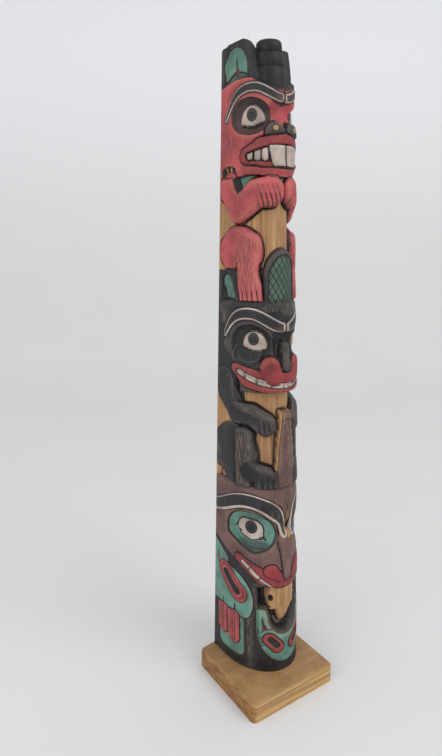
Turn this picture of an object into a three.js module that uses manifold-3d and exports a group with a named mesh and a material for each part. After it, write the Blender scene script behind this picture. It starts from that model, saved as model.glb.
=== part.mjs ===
// Totem pole: one carved log with a flat back, standing on a plain block.
// Millimetres. Origin at the middle of the block's underside, front faces -Y, +Z up.
import * as THREE from 'three';
import { mergeVertices } from 'three/addons/utils/BufferGeometryUtils.js';
import Module from 'manifold-3d';

// ---------------------------------------------------------------- block
const BASE_WIDTH = 126;
const BASE_DEPTH = 120;
const BASE_THICK = 25;
const BASE_CORNER = 7;
const BASE_EDGE = 5;

// ---------------------------------------------------------------- log
const LOG_TOP = 748;
const HEAD_TOP = 708;
const LOG_X = 4;
const BACK_Y = BASE_DEPTH / 2;
const BACK_CORNER = 4;
const FOOT = { width: 97, depth: 92, nose: 66 };
const CROWN = { width: 65, depth: 62, nose: 36 };

// ---------------------------------------------------------------- hat and ears
const HAT_Y = 20;
const HAT_TOP = 745;
const HAT_FOOT = 697;
const HAT_RINGS = [{ r: 15.6, top: 719 }, { r: 14.2, top: 731.5 }, { r: 13, top: 742 }];
const HAT_GROOVE = 1.2;
const EAR_THICK = 13;
const EAR_FRONT_Y = 13;

// ---------------------------------------------------------------- mesh fineness
const COLS_SIDE = 23;
const ROWS = 82;

// ---------------------------------------------------------------- small helpers
const clamp = (v, lo, hi) => Math.min(Math.max(v, lo), hi);
const mix = (p, q, t) => p + (q - p) * t;

function step(lo, hi, v) {
  const t = clamp((v - lo) / (hi - lo), 0, 1);
  return t * t * (3 - 2 * t);
}

// Signed distance to an ellipse, negative inside; (a, z) are mm round the log and mm up.
function ellipse(a, z, ca, cz, ra, rz) {
  const p = Math.hypot((a - ca) / ra, (z - cz) / rz);
  const q = Math.hypot((a - ca) / (ra * ra), (z - cz) / (rz * rz));
  return q < 1e-9 ? -Math.min(ra, rz) : p * (p - 1) / q;
}

// Signed distance to a chain of rounded bars through [a, z, radius] stations.
function limb(a, z, stations) {
  let best = 1e9;
  for (let i = 0; i + 1 < stations.length; i += 1) {
    const [a0, z0, r0] = stations[i];
    const [a1, z1, r1] = stations[i + 1];
    const ua = a1 - a0;
    const uz = z1 - z0;
    const t = clamp(((a - a0) * ua + (z - z0) * uz) / (ua * ua + uz * uz), 0, 1);
    const d = Math.hypot(a - a0 - ua * t, z - z0 - uz * t) - mix(r0, r1, t);
    best = Math.min(best, d);
  }
  return best;
}

// Brings the surface to `level` inside a shape, over a rounded shoulder of width w.
function carve(h, d, level, w) {
  const t = clamp(-d / w, 0, 1);
  return mix(h, level, Math.sqrt(1 - (1 - t) * (1 - t)));
}

// A V groove along the rim of a shape or the middle of a line.
const groove = (h, d, depth, w) => h - depth * (1 - step(0, w, Math.abs(d)));

// Points along a brow: a sweep in from the nose, a peak, and a fall to the temple.
function browPath(b) {
  const pts = [];
  const n = 14;
  for (let i = 0; i <= n; i += 1) {
    const t = i / n;
    const fall = b.innerRound ? 1 - Math.sqrt(1 - (1 - t) * (1 - t)) : (1 + Math.cos(Math.PI * t)) / 2;
    pts.push([mix(b.inner[0], b.peak[0], t), mix(b.peak[1], b.inner[1], fall), b.half]);
  }
  for (let i = 1; i <= n; i += 1) {
    const t = b.outerSweep ? i / n : Math.sin(Math.PI * i / n / 2);
    const fall = b.outerSweep ? (1 - Math.cos(Math.PI * t)) / 2 : 1 - Math.sqrt(1 - t * t);
    pts.push([mix(b.peak[0], b.tip[0], t), mix(b.peak[1], b.tip[1], fall), mix(b.half, b.tipHalf, t * t)]);
  }
  return pts;
}

// ---------------------------------------------------------------- the three figures
const BEAVER = {
  brow: { inner: [2, 689.5], peak: [42, 699], tip: [76, 672], half: 4.5, tipHalf: 2.5 },
  socket: [41, 673, 24, 16.5],
  eye: [38, 673, 14.5, 10],
  nose: [12, 657, 11, 11],
  lips: [[44, 635, 9.5], [25, 638, 14.5], [0, 638, 17]],
  teeth: [[39, 633.5, 5], [22, 635, 6.5], [0, 636, 10]],
  incisors: { outer: 17, low: 624, high: 645 },
  arm: [[70, 604, 17], [55, 582, 16], [32, 595, 16.5], [15, 598, 16]],
  fingers: { from: 3, to: 28, low: 581, high: 606, count: 5 },
  haunch: [58, 538, 33, 28],
  haunchLow: 518,
  shin: [[47, 540, 14], [43, 510, 15.5], [41, 495, 14.5]],
  toes: { from: 28, to: 54, low: 485, high: 507, count: 5 },
  chin: 614,
  low: 484,
};
const TAIL = { half: 24, border: 8, low: 485, top: 540 };
const BEAR_EAR = { outer: [[80, 500, 13], [73, 478, 14]], inner: [[79, 502, 8], [73, 482, 9.5]] };
const BEAR = {
  brow: { inner: [2, 454], peak: [42, 471], tip: [80, 446], half: 6, tipHalf: 3 },
  socket: [43, 436, 27, 23],
  eye: [38, 442, 15, 11.5],
  nostril: [19, 408, 12, 16],
  nose: [[0, 434, 5], [0, 412, 5.5]],
  lips: [[62, 408, 6], [45, 399, 12], [25, 394.5, 12.5], [0, 393, 12]],
  teeth: [[56, 404.5, 4], [45, 400, 4], [30, 395, 4.3], [15, 392, 4], [0, 390.5, 3.5]],
  arm: [[83, 387, 18], [62, 356, 15], [40, 355, 14], [26, 346, 15.5]],
  fingers: { from: 12, to: 40, low: 329, high: 356, count: 5 },
  haunch: [68, 305, 34, 38],
  haunchLow: 269,
  shin: [[53, 330, 12], [53, 270, 11]],
  foot: [[46, 286, 12], [28, 283, 14]],
  toes: { from: 14, to: 40, low: 269, high: 284, count: 4 },
  chin: 382,
  low: 268,
};
const CREST = { topHalf: 8, lowHalf: 14, top: 361 };
const BIRD = {
  brow: { inner: [2, 209], peak: [46, 250.5], tip: [112, 227], half: 8, tipHalf: 6, innerRound: true, outerSweep: true },
  patch: [48, 210, 33, 26],
  eye: [44, 216, 16, 12],
  ridge: [[0, 200, 5], [0, 156, 6]],
  nostril: [[21, 163, 8], [8, 152, 4]],
  lips: [[60, 175, 6], [42, 164, 7.5], [25, 157, 11], [0, 150, 9.5]],
  teeth: [[54, 171.5, 2.6], [40, 160.5, 3], [28, 151, 2.4]],
  jaw: [[120, 190, 4], [70, 164, 5], [45, 145, 5]],
  mouthLow: 140,
};
const CAVITY = { half: 38, ledge: 114, well: 21, low: 80, top: 141, depth: 13 };
const BEAK = { topHalf: 32, top: 141, tip: 99, hook: 12 };
const WING = { ring: [[84, 148, 14], [62, 126, 14]], slot: [[83, 147, 5], [62, 126, 5]] };
const PLUME = { from: 60, to: 101, low: 54, high: 98, count: 2 };
const APRON = { half: 39, low: 37, ring: [[21, 71, 8], [11, 60, 8]], slot: [[22, 72, 3.6], [11, 60, 3.6]] };

const BROWS = [BEAVER.brow, BEAR.brow, BIRD.brow].map(browPath);

// Grooves between fingers or toes.
function digits(h, a, z, g, depth) {
  if (z < g.low - 2 || z > g.high) {
    return h;
  }
  const pitch = (g.to - g.from) / g.count;
  const k = (a - g.from) / pitch;
  const near = Math.abs(k - Math.round(k)) * pitch;
  const inner = Math.round(k) > 0 && Math.round(k) < g.count;
  return inner ? h - depth * (1 - step(0, 1.6, near)) * step(g.high, g.high - 8, z) : h;
}

// A face: socket hollow, bridge of the nose, eyeball, brow and bared teeth between lips.
function face(h, a, z, f, brow, socket, depth) {
  let r = h;
  const bridge = ellipse(a, z, 0, socket[1], 26, socket[3] + 3);
  r = carve(r, bridge, -depth, 12);
  r = carve(r, ellipse(a, z, ...socket), -depth * 0.85, 9);
  r = carve(r, ellipse(a, z, ...f.eye), -depth * 0.15, 9);
  r = carve(r, limb(a, z, brow), 0.3, 3);
  r = carve(r, limb(a, z, f.lips), 0.6, 5);
  r = carve(r, limb(a, z, f.teeth), -1.6, 1.5);
  return r;
}

// Depth of the ground the limbs stand out from: deep at the belly, shallow at the flanks.
const ground = (a) => mix(-8.5, -3, step(36, 66, a));

function beaver(a, z) {
  let h = z < BEAVER.chin ? ground(a) : 0;
  if (z < BEAVER.chin) {
    h = carve(h, limb(a, z, BEAVER.arm), 0.8, 9);
    h = digits(h, a, z, BEAVER.fingers, 2.2);
    h = carve(h, Math.max(ellipse(a, z, ...BEAVER.haunch), BEAVER.haunchLow - z), -0.2, 10);
    h = carve(h, limb(a, z, BEAR_EAR.outer), -0.8, 3);
    h = carve(h, limb(a, z, BEAR_EAR.inner), -2.4, 2);
    const tail = tailDistance(a, z, TAIL.half);
    h = carve(h, tail, -3, 4);
    h = carve(h, tailDistance(a, z, TAIL.half - TAIL.border), -4.6, 2);
    h = carve(h, limb(a, z, BEAVER.shin), 0.8, 7);
    return digits(h, a, z, BEAVER.toes, 2);
  }
  h -= 1.5 * step(HEAD_TOP - 6, HEAD_TOP, z) * step(40, 10, a);
  h = face(h, a, z, BEAVER, BROWS[0], BEAVER.socket, 5.5);
  h = carve(h, Math.max(ellipse(a, z, ...BEAVER.nose), 652 - z), 0.8, 5);
  const bite = Math.max(a - BEAVER.incisors.outer, BEAVER.incisors.low - z, z - BEAVER.incisors.high);
  h = carve(h, bite, 0, 2);
  return z > HEAD_TOP - 1 ? ear(a, z) : h;
}

// The ears stand on the sides of the head with a hollow arch cut in each.
function ear(a, z) {
  const arch = Math.max(Math.abs(a - 59) - 17, z - 741 + Math.max(0, Math.abs(a - 59) - 8) * 0.6);
  return carve(0, arch, -1.6, 1.5);
}

// The tail hangs between the feet as a tall arch.
function tailDistance(a, z, half) {
  const crown = TAIL.top - TAIL.half;
  return z < crown ? a - half : Math.hypot(a, z - crown) - half;
}

function bear(a, z) {
  let h = z < BEAR.chin ? ground(a) : 0;
  if (z < BEAR.chin + 24) {
    const shoulder = limb(a, z, BEAR.arm);
    h = z < BEAR.chin ? carve(h, shoulder, 1.2, 9) : h;
  }
  if (z < BEAR.chin) {
    h = digits(h, a, z, BEAR.fingers, 2.2);
    h = carve(h, Math.max(ellipse(a, z, ...BEAR.haunch), BEAR.haunchLow - z), 0, 10);
    h = carve(h, limb(a, z, BEAR.shin), 0.8, 6);
    h = carve(h, limb(a, z, BEAR.foot), 0.8, 7);
    h = digits(h, a, z, BEAR.toes, 1.6);
    const k = (CREST.top - z) / (CREST.top - BEAR.low);
    const crest = Math.max(a - mix(CREST.topHalf, CREST.lowHalf, k), z - CREST.top);
    return carve(h, crest, -1, 6);
  }
  h = face(h, a, z, BEAR, BROWS[1], BEAR.socket, 6);
  h = carve(h, ellipse(a, z, ...BEAR.nostril), 1.6, 7);
  return carve(h, limb(a, z, BEAR.nose), 2.4, 3);
}

function bird(a, z) {
  if (z > BIRD.mouthLow) {
    let h = face(0, a, z, BIRD, BROWS[2], BIRD.patch, 5);
    h = carve(h, limb(a, z, BIRD.nostril), 1.4, 5);
    h = carve(h, limb(a, z, BIRD.ridge), 2, 4);
    return groove(h, limb(a, z, BIRD.jaw) + 2, 1.6, 4);
  }
  let h = -0.4;
  const well = z < CAVITY.low + CAVITY.well
    ? Math.hypot(a, z - CAVITY.low - CAVITY.well) - CAVITY.well
    : a - mix(CAVITY.well, CAVITY.well + 4, (z - 101) / 13);
  const niche = z > CAVITY.ledge ? a - CAVITY.half : Math.max(well, z - CAVITY.ledge);
  h = mix(h, -CAVITY.depth, step(0, -7, niche) * step(CAVITY.low - 1, CAVITY.low + 7, z));
  const k = clamp((BEAK.top - z) / (BEAK.top - BEAK.tip), 0, 1);
  const beak = Math.max(a - BEAK.topHalf * Math.sqrt(1 - k), BEAK.tip - z);
  h = Math.max(h, carve(h, beak, -1 - BEAK.hook * k * k, 16));
  h = carve(h, limb(a, z, WING.ring), 0.8, 2);
  h = carve(h, limb(a, z, WING.slot), -0.8, 1.5);
  h = carve(h, limb(a, z, APRON.ring), 0.6, 2);
  h = carve(h, limb(a, z, APRON.slot), -0.8, 1.5);
  const pitch = (PLUME.to - PLUME.from) / PLUME.count;
  const plume = z < PLUME.high && z > PLUME.low && Math.abs(a - PLUME.from - pitch) < 1.5;
  return plume ? h - 1 : h;
}

// Height of the carving above the plain log at (mm round from the front, mm up).
function relief(a, z) {
  if (z > BEAVER.low) {
    return beaver(a, z);
  }
  return z > BEAR.low ? bear(a, z) : bird(a, z);
}

// ---------------------------------------------------------------- the plain log
function logSize(z) {
  const k = (z - BASE_THICK) / (LOG_TOP - BASE_THICK);
  return {
    half: mix(FOOT.width, CROWN.width, k) / 2,
    front: BACK_Y - mix(FOOT.depth, CROWN.depth, k),
    nose: mix(FOOT.nose, CROWN.nose, k),
  };
}

// One side of the log from the front middle to the start of the back corner,
// as points with the distance round from the front and the outward direction.
function sideCurve(z) {
  const s = logSize(z);
  const curve = [];
  const n = 60;
  for (let i = 0; i <= n; i += 1) {
    const t = (i / n) * Math.PI / 2;
    const nx = s.nose * Math.sin(t);
    const ny = -s.half * Math.cos(t);
    const l = Math.hypot(nx, ny);
    const y = s.front + s.nose * (1 - Math.cos(t));
    curve.push({ x: s.half * Math.sin(t), y, nx: nx / l, ny: ny / l });
  }
  curve.push({ x: s.half, y: BACK_Y - BACK_CORNER, nx: 1, ny: 0 });
  curve[0].a = 0;
  for (let i = 1; i < curve.length; i += 1) {
    const step = Math.hypot(curve[i].x - curve[i - 1].x, curve[i].y - curve[i - 1].y);
    curve[i].a = curve[i - 1].a + step;
  }
  return curve;
}

function along(curve, a) {
  let i = 1;
  while (i < curve.length - 1 && curve[i].a < a) {
    i += 1;
  }
  const p = curve[i - 1];
  const q = curve[i];
  const t = (a - p.a) / (q.a - p.a);
  return { x: mix(p.x, q.x, t), y: mix(p.y, q.y, t), nx: mix(p.nx, q.nx, t), ny: mix(p.ny, q.ny, t) };
}

// Stations packed closer where the carving is busy.
function busyStations(lo, hi, count, change) {
  const fine = 400;
  const total = [0];
  for (let i = 1; i <= fine; i += 1) {
    total.push(total[i - 1] + change(mix(lo, hi, (i - 1) / fine), mix(lo, hi, i / fine)));
  }
  const out = [];
  for (let k = 0; k <= count; k += 1) {
    const want = total[fine] * k / count;
    let i = 1;
    while (i < fine && total[i] < want) {
      i += 1;
    }
    const t = (want - total[i - 1]) / (total[i] - total[i - 1]);
    out.push(mix(lo, hi, (i - 1 + clamp(t, 0, 1)) / fine));
  }
  return out;
}

function rowHeights() {
  return busyStations(BASE_THICK, LOG_TOP, ROWS, (p, q) => {
    let sum = 26;
    for (let a = 2; a < 95; a += 4) {
      sum += Math.abs(relief(a, q) - relief(a, p)) * 4;
    }
    return sum;
  });
}

function columnShares() {
  return busyStations(0, 1, COLS_SIDE, (p, q) => {
    let sum = 50;
    for (let z = 40; z < 740; z += 9) {
      const reach = mix(111, 76, (z - 25) / 723);
      sum += Math.abs(relief(q * reach, z) - relief(p * reach, z));
    }
    return sum;
  });
}

// One level loop of the log, counter-clockwise from the front middle.
function logLoop(z, shares) {
  const curve = sideCurve(z);
  const end = curve[curve.length - 1];
  const right = shares.map((u) => {
    const a = u * end.a;
    const p = along(curve, a);
    const fade = step(end.a, end.a - 5, a);
    const h = relief(a, z) * fade;
    return [p.x + p.nx * h, p.y + p.ny * h];
  });
  const bend = Math.SQRT1_2 * BACK_CORNER;
  right.push([end.x - BACK_CORNER + bend, end.y + bend]);
  right.push([end.x - BACK_CORNER, BACK_Y]);
  const back = [[0, BACK_Y]];
  const left = right.slice(1).reverse().map(([x, y]) => [-x, y]);
  return [...right, ...back, ...left].map(([x, y]) => [x + LOG_X, y, z]);
}

// Closed skin over a stack of equal loops, with a fan at each end.
function loft(loops) {
  const n = loops[0].length;
  const pos = loops.flat(2);
  const idx = [];
  for (let r = 0; r + 1 < loops.length; r += 1) {
    for (let c = 0; c < n; c += 1) {
      const p = r * n + c;
      const q = r * n + (c + 1) % n;
      idx.push(p, q, q + n, p, q + n, p + n);
    }
  }
  [0, loops.length - 1].forEach((r, end) => {
    const hub = pos.length / 3;
    const mid = [0, 1, 2].map((k) => loops[r].reduce((s, p) => s + p[k], 0) / n);
    pos.push(...mid);
    for (let c = 0; c < n; c += 1) {
      const p = r * n + c;
      const q = r * n + (c + 1) % n;
      idx.push(...(end ? [hub, p, q] : [hub, q, p]));
    }
  });
  const geo = new THREE.BufferGeometry();
  geo.setAttribute('position', new THREE.Float32BufferAttribute(pos, 3));
  geo.setIndex(idx);
  return geo;
}

function logBody() {
  const shares = columnShares();
  return loft(rowHeights().map((z) => logLoop(z, shares)));
}

// ---------------------------------------------------------------- hat, ears, block
function hat() {
  const pts = [new THREE.Vector2(0, HAT_FOOT)];
  let low = HAT_FOOT;
  HAT_RINGS.forEach((ring, i) => {
    pts.push(new THREE.Vector2(ring.r, low));
    pts.push(new THREE.Vector2(ring.r - 0.4, ring.top - 0.8));
    if (i < HAT_RINGS.length - 1) {
      pts.push(new THREE.Vector2(ring.r - HAT_GROOVE - 0.8, ring.top));
    }
    low = ring.top + 0.8;
  });
  pts.push(new THREE.Vector2(9, HAT_TOP - 1));
  pts.push(new THREE.Vector2(0, HAT_TOP));
  const geo = new THREE.LatheGeometry(pts, 28);
  geo.rotateX(Math.PI / 2);
  geo.translate(LOG_X, HAT_Y, 0);
  return geo;
}

// Waste in front of the ears and over their rounded tops, cut away across the log.
function frontWaste() {
  const shape = new THREE.Shape();
  const outline = [
    [-60, HEAD_TOP - 9], [-6, HEAD_TOP - 9], [4, HEAD_TOP - 3], [EAR_FRONT_Y, HEAD_TOP],
    [EAR_FRONT_Y + 1, 735], [EAR_FRONT_Y + 7, 743], [32, 747.4], [45, 747], [54, 744],
    [61, 738], [80, 738], [80, 780], [-60, 780],
  ];
  outline.forEach(([y, z], i) => (i ? shape.lineTo(y, z) : shape.moveTo(y, z)));
  const geo = new THREE.ExtrudeGeometry(shape, { depth: 160, bevelEnabled: false });
  geo.rotateX(Math.PI / 2);
  geo.rotateZ(Math.PI / 2);
  geo.translate(-80, 0, 0);
  return geo;
}

function middleWaste() {
  const width = CROWN.width - 2 * EAR_THICK;
  const geo = new THREE.BoxGeometry(width, 160, 80);
  geo.translate(LOG_X, 20, HEAD_TOP + 40);
  return geo;
}

function blockLoop(z, inset, backInset) {
  const pts = [];
  const x = BASE_WIDTH / 2 - inset;
  const front = -BASE_DEPTH / 2 + inset;
  const back = BASE_DEPTH / 2 - backInset;
  const r = BASE_CORNER;
  const centres = [[x - r, front + r, -90], [x - r, back - r, 0], [-x + r, back - r, 90], [-x + r, front + r, 180]];
  centres.forEach(([cx, cy, from]) => {
    for (let i = 0; i <= 5; i += 1) {
      const t = (from + i * 18) * Math.PI / 180;
      pts.push([cx + r * Math.cos(t), cy + r * Math.sin(t), z]);
    }
  });
  return pts;
}

function block() {
  const loops = [blockLoop(0, 0.8, 0.8), blockLoop(0.8, 0, 0)];
  for (let i = 0; i <= 4; i += 1) {
    const t = (i / 4) * Math.PI / 2;
    const inset = BASE_EDGE * (1 - Math.cos(t));
    loops.push(blockLoop(BASE_THICK - BASE_EDGE * (1 - Math.sin(t)), inset, inset * 0));
  }
  return loft(loops);
}

// ---------------------------------------------------------------- joining and cutting
const wasm = await Module();
wasm.setup();

function toSolid(geometry) {
  const bare = geometry.clone();
  bare.deleteAttribute('normal');
  bare.deleteAttribute('uv');
  const merged = mergeVertices(bare, 1e-4);
  const vertProperties = new Float32Array(merged.attributes.position.array);
  const triVerts = new Uint32Array(merged.index.array);
  return new wasm.Manifold(new wasm.Mesh({ numProp: 3, vertProperties, triVerts }));
}

function toGeometry(solid) {
  const mesh = solid.getMesh();
  const geo = new THREE.BufferGeometry();
  geo.setAttribute('position', new THREE.BufferAttribute(new Float32Array(mesh.vertProperties), 3));
  geo.setIndex(new THREE.BufferAttribute(new Uint32Array(mesh.triVerts), 1));
  geo.computeVertexNormals();
  return geo;
}

function pole() {
  const shaped = toSolid(logBody()).subtract(toSolid(frontWaste())).subtract(toSolid(middleWaste()));
  return toGeometry(shaped.add(toSolid(hat())));
}

function piece(name, geometry, colour) {
  const material = new THREE.MeshStandardMaterial({ color: colour, roughness: 0.7, flatShading: true });
  const mesh = new THREE.Mesh(geometry, material);
  mesh.name = name;
  return mesh;
}

const group = new THREE.Group();
group.name = 'totem_pole';
group.add(piece('base_block', toGeometry(toSolid(block())), 0xb8925f));
group.add(piece('carved_pole', pole(), 0x8f4a4a));
export default group;
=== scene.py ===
"""Totem pole: a carved and painted log with a flat back, standing on a plain wooden block.

The log is one piece.  Its plain shape is a tapering U in plan, and the three figures
(beaver with a ringed hat, bear, bird) are cut into it.  Places on the log are given as
(a, z): millimetres round the log from the front middle, and millimetres up.
"""

from __future__ import annotations

import logging
import math
from collections.abc import Callable
from dataclasses import dataclass, field
from enum import Enum

import bpy
import numpy as np
from mathutils import Matrix, Vector


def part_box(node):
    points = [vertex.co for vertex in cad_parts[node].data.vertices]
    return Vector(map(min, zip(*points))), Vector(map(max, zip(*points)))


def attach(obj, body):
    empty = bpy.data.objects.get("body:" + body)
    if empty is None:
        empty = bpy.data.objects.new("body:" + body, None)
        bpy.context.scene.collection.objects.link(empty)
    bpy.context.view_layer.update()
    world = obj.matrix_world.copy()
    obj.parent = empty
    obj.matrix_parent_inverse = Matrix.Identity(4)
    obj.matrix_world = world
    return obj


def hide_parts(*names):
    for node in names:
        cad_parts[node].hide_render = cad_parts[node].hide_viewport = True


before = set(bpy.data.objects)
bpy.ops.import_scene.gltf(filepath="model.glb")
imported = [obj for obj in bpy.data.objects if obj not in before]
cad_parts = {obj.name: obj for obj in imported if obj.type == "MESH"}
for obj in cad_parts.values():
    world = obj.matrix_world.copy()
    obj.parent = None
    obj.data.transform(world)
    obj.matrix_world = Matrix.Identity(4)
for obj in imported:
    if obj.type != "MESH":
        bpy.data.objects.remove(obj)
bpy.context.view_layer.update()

log = logging.getLogger("totem_pole")

MM = 0.001
NO_LINE = 20.0
BLUR_PASSES = 3

# The carving's own middle line strays to the right of the log's, in front and at the sides.
STRAY_HEIGHTS = (25.0, 120.0, 200.0, 300.0, 380.0, 440.0, 540.0, 590.0, 640.0, 680.0, 700.0)
STRAY_FRONT = (1.0, 1.6, 3.8, 3.8, 2.8, 2.4, 3.8, 3.2, 3.0, 2.4, 1.4)
STRAY_SIDES = (0.0, 0.0, 0.0, 0.4, 1.0, 1.8, 1.8, 2.6, 3.0, 2.8, 2.8)

Station = tuple[float, float, float]
Array = np.ndarray


class Coat(Enum):
    """The paints and bare wood on the log, in the order the material lays them."""

    WOOD = "coat_wood"
    RED = "coat_red"
    DARK_RED = "coat_dark_red"
    BLACK = "coat_black"
    TEAL = "coat_teal"
    GREEN = "coat_green"
    PLUM = "coat_plum"
    SHADE = "coat_shade"
    WHITE = "coat_white"
    GREY = "coat_grey"


# ---------------------------------------------------------------- distances on the log


def mix(p: float | Array, q: float | Array, t: float | Array) -> float | Array:
    """Returns the value a share t of the way from p to q."""
    return p + (q - p) * t


def smooth(lo: float, hi: float, v: Array) -> Array:
    """Returns an eased ramp from 0 at lo to 1 at hi."""
    t = np.clip((v - lo) / (hi - lo), 0.0, 1.0)
    return t * t * (3.0 - 2.0 * t)


def ellipse(a: Array, z: Array, ca: float, cz: float, ra: float, rz: float) -> Array:
    """Distance to an upright ellipse, negative inside.

    Args:
        a, z: places on the log.
        ca, cz: middle of the ellipse.
        ra, rz: half width and half height.

    Returns:
        The signed distance in millimetres.
    """
    p = np.hypot((a - ca) / ra, (z - cz) / rz)
    q = np.hypot((a - ca) / (ra * ra), (z - cz) / (rz * rz))
    return np.where(q < 1e-9, -min(ra, rz), p * (p - 1.0) / np.maximum(q, 1e-9))


def limb(a: Array, z: Array, stations: list[Station]) -> Array:
    """Distance to a chain of rounded bars, negative inside.

    Args:
        a, z: places on the log.
        stations: (a, z, radius) along the chain.

    Returns:
        The signed distance in millimetres.
    """
    best = np.full(a.shape, 1e9)
    for (a0, z0, r0), (a1, z1, r1) in zip(stations, stations[1:]):
        ua, uz = a1 - a0, z1 - z0
        t = np.clip(((a - a0) * ua + (z - z0) * uz) / (ua * ua + uz * uz), 0.0, 1.0)
        best = np.minimum(best, np.hypot(a - a0 - ua * t, z - z0 - uz * t) - mix(r0, r1, t))
    return best


def arch(a: Array, z: Array, half: float, top: float, rise: float) -> Array:
    """Distance to a tall arch open at the foot, centred on a = 0, negative inside.

    Args:
        a, z: places on the log.
        half: half width of the arch.
        top: height of its crown.
        rise: height of the curved part.

    Returns:
        The signed distance in millimetres.
    """
    spring = top - rise
    return np.where(z < spring, np.abs(a) - half, ellipse(a, z, 0.0, spring, half, rise))


def slab(v: Array, lo: float, hi: float) -> Array:
    """Distance to the band between lo and hi, negative inside."""
    return np.maximum(lo - v, v - hi)


def blurred(v: Array, reach: int) -> Array:
    """Returns values evened out over a few neighbours each way.

    Args:
        v: values over the skin.
        reach: how many neighbours away.

    Returns:
        The evened values.
    """
    for _ in range(BLUR_PASSES):
        total = v + np.roll(v, reach, 0) + np.roll(v, -reach, 0)
        v = (total + np.roll(v, reach, 1) + np.roll(v, -reach, 1)) / 5.0
    return v


# ---------------------------------------------------------------- the plain log


@dataclass(frozen=True)
class LogBlank:
    """The log before carving: a tapering U in plan with a flat back, in millimetres."""

    foot: tuple[float, float, float] = (98.0, 91.5, 66.0)
    crown: tuple[float, float, float] = (66.4, 62.6, 36.5)
    low: float = 25.0
    top: float = 750.0
    middle: tuple[float, float] = (7.0, 5.8)
    back_y: float = 58.6
    back_corner: float = 4.0

    def sizes(self, z: float) -> tuple[float, float, float]:
        """Returns half width, front y and length of the rounded nose at height z.

        Args:
            z: height of the cut.

        Returns:
            Half width, front y and nose length in millimetres.
        """
        k = (z - self.low) / (self.top - self.low)
        width, depth, nose = (mix(f, c, k) for f, c in zip(self.foot, self.crown))
        return width / 2.0, self.back_y - depth, nose

    def middle_x(self, z: float | Array) -> float | Array:
        """Returns where the middle of the log is at height z, as it leans very slightly."""
        return mix(self.middle[0], self.middle[1], (z - self.low) / (self.top - self.low))

    def side(self, z: float) -> tuple[Array, Array, Array, Array, Array]:
        """Outline of one side from the front middle to the back corner.

        Args:
            z: height of the cut.

        Returns:
            Distance round, x, y, and the outward direction's x and y.
        """
        half, front, nose = self.sizes(z)
        t = np.linspace(0.0, math.pi / 2.0, 61)
        x = np.append(half * np.sin(t), half)
        y = np.append(front + nose * (1.0 - np.cos(t)), self.back_y - self.back_corner)
        nx = np.append(nose * np.sin(t), 1.0)
        ny = np.append(-half * np.cos(t), 0.0)
        size = np.hypot(nx, ny)
        a = np.concatenate([[0.0], np.cumsum(np.hypot(np.diff(x), np.diff(y)))])
        return a, x, y, nx / size, ny / size


# ---------------------------------------------------------------- carving and paint


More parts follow.
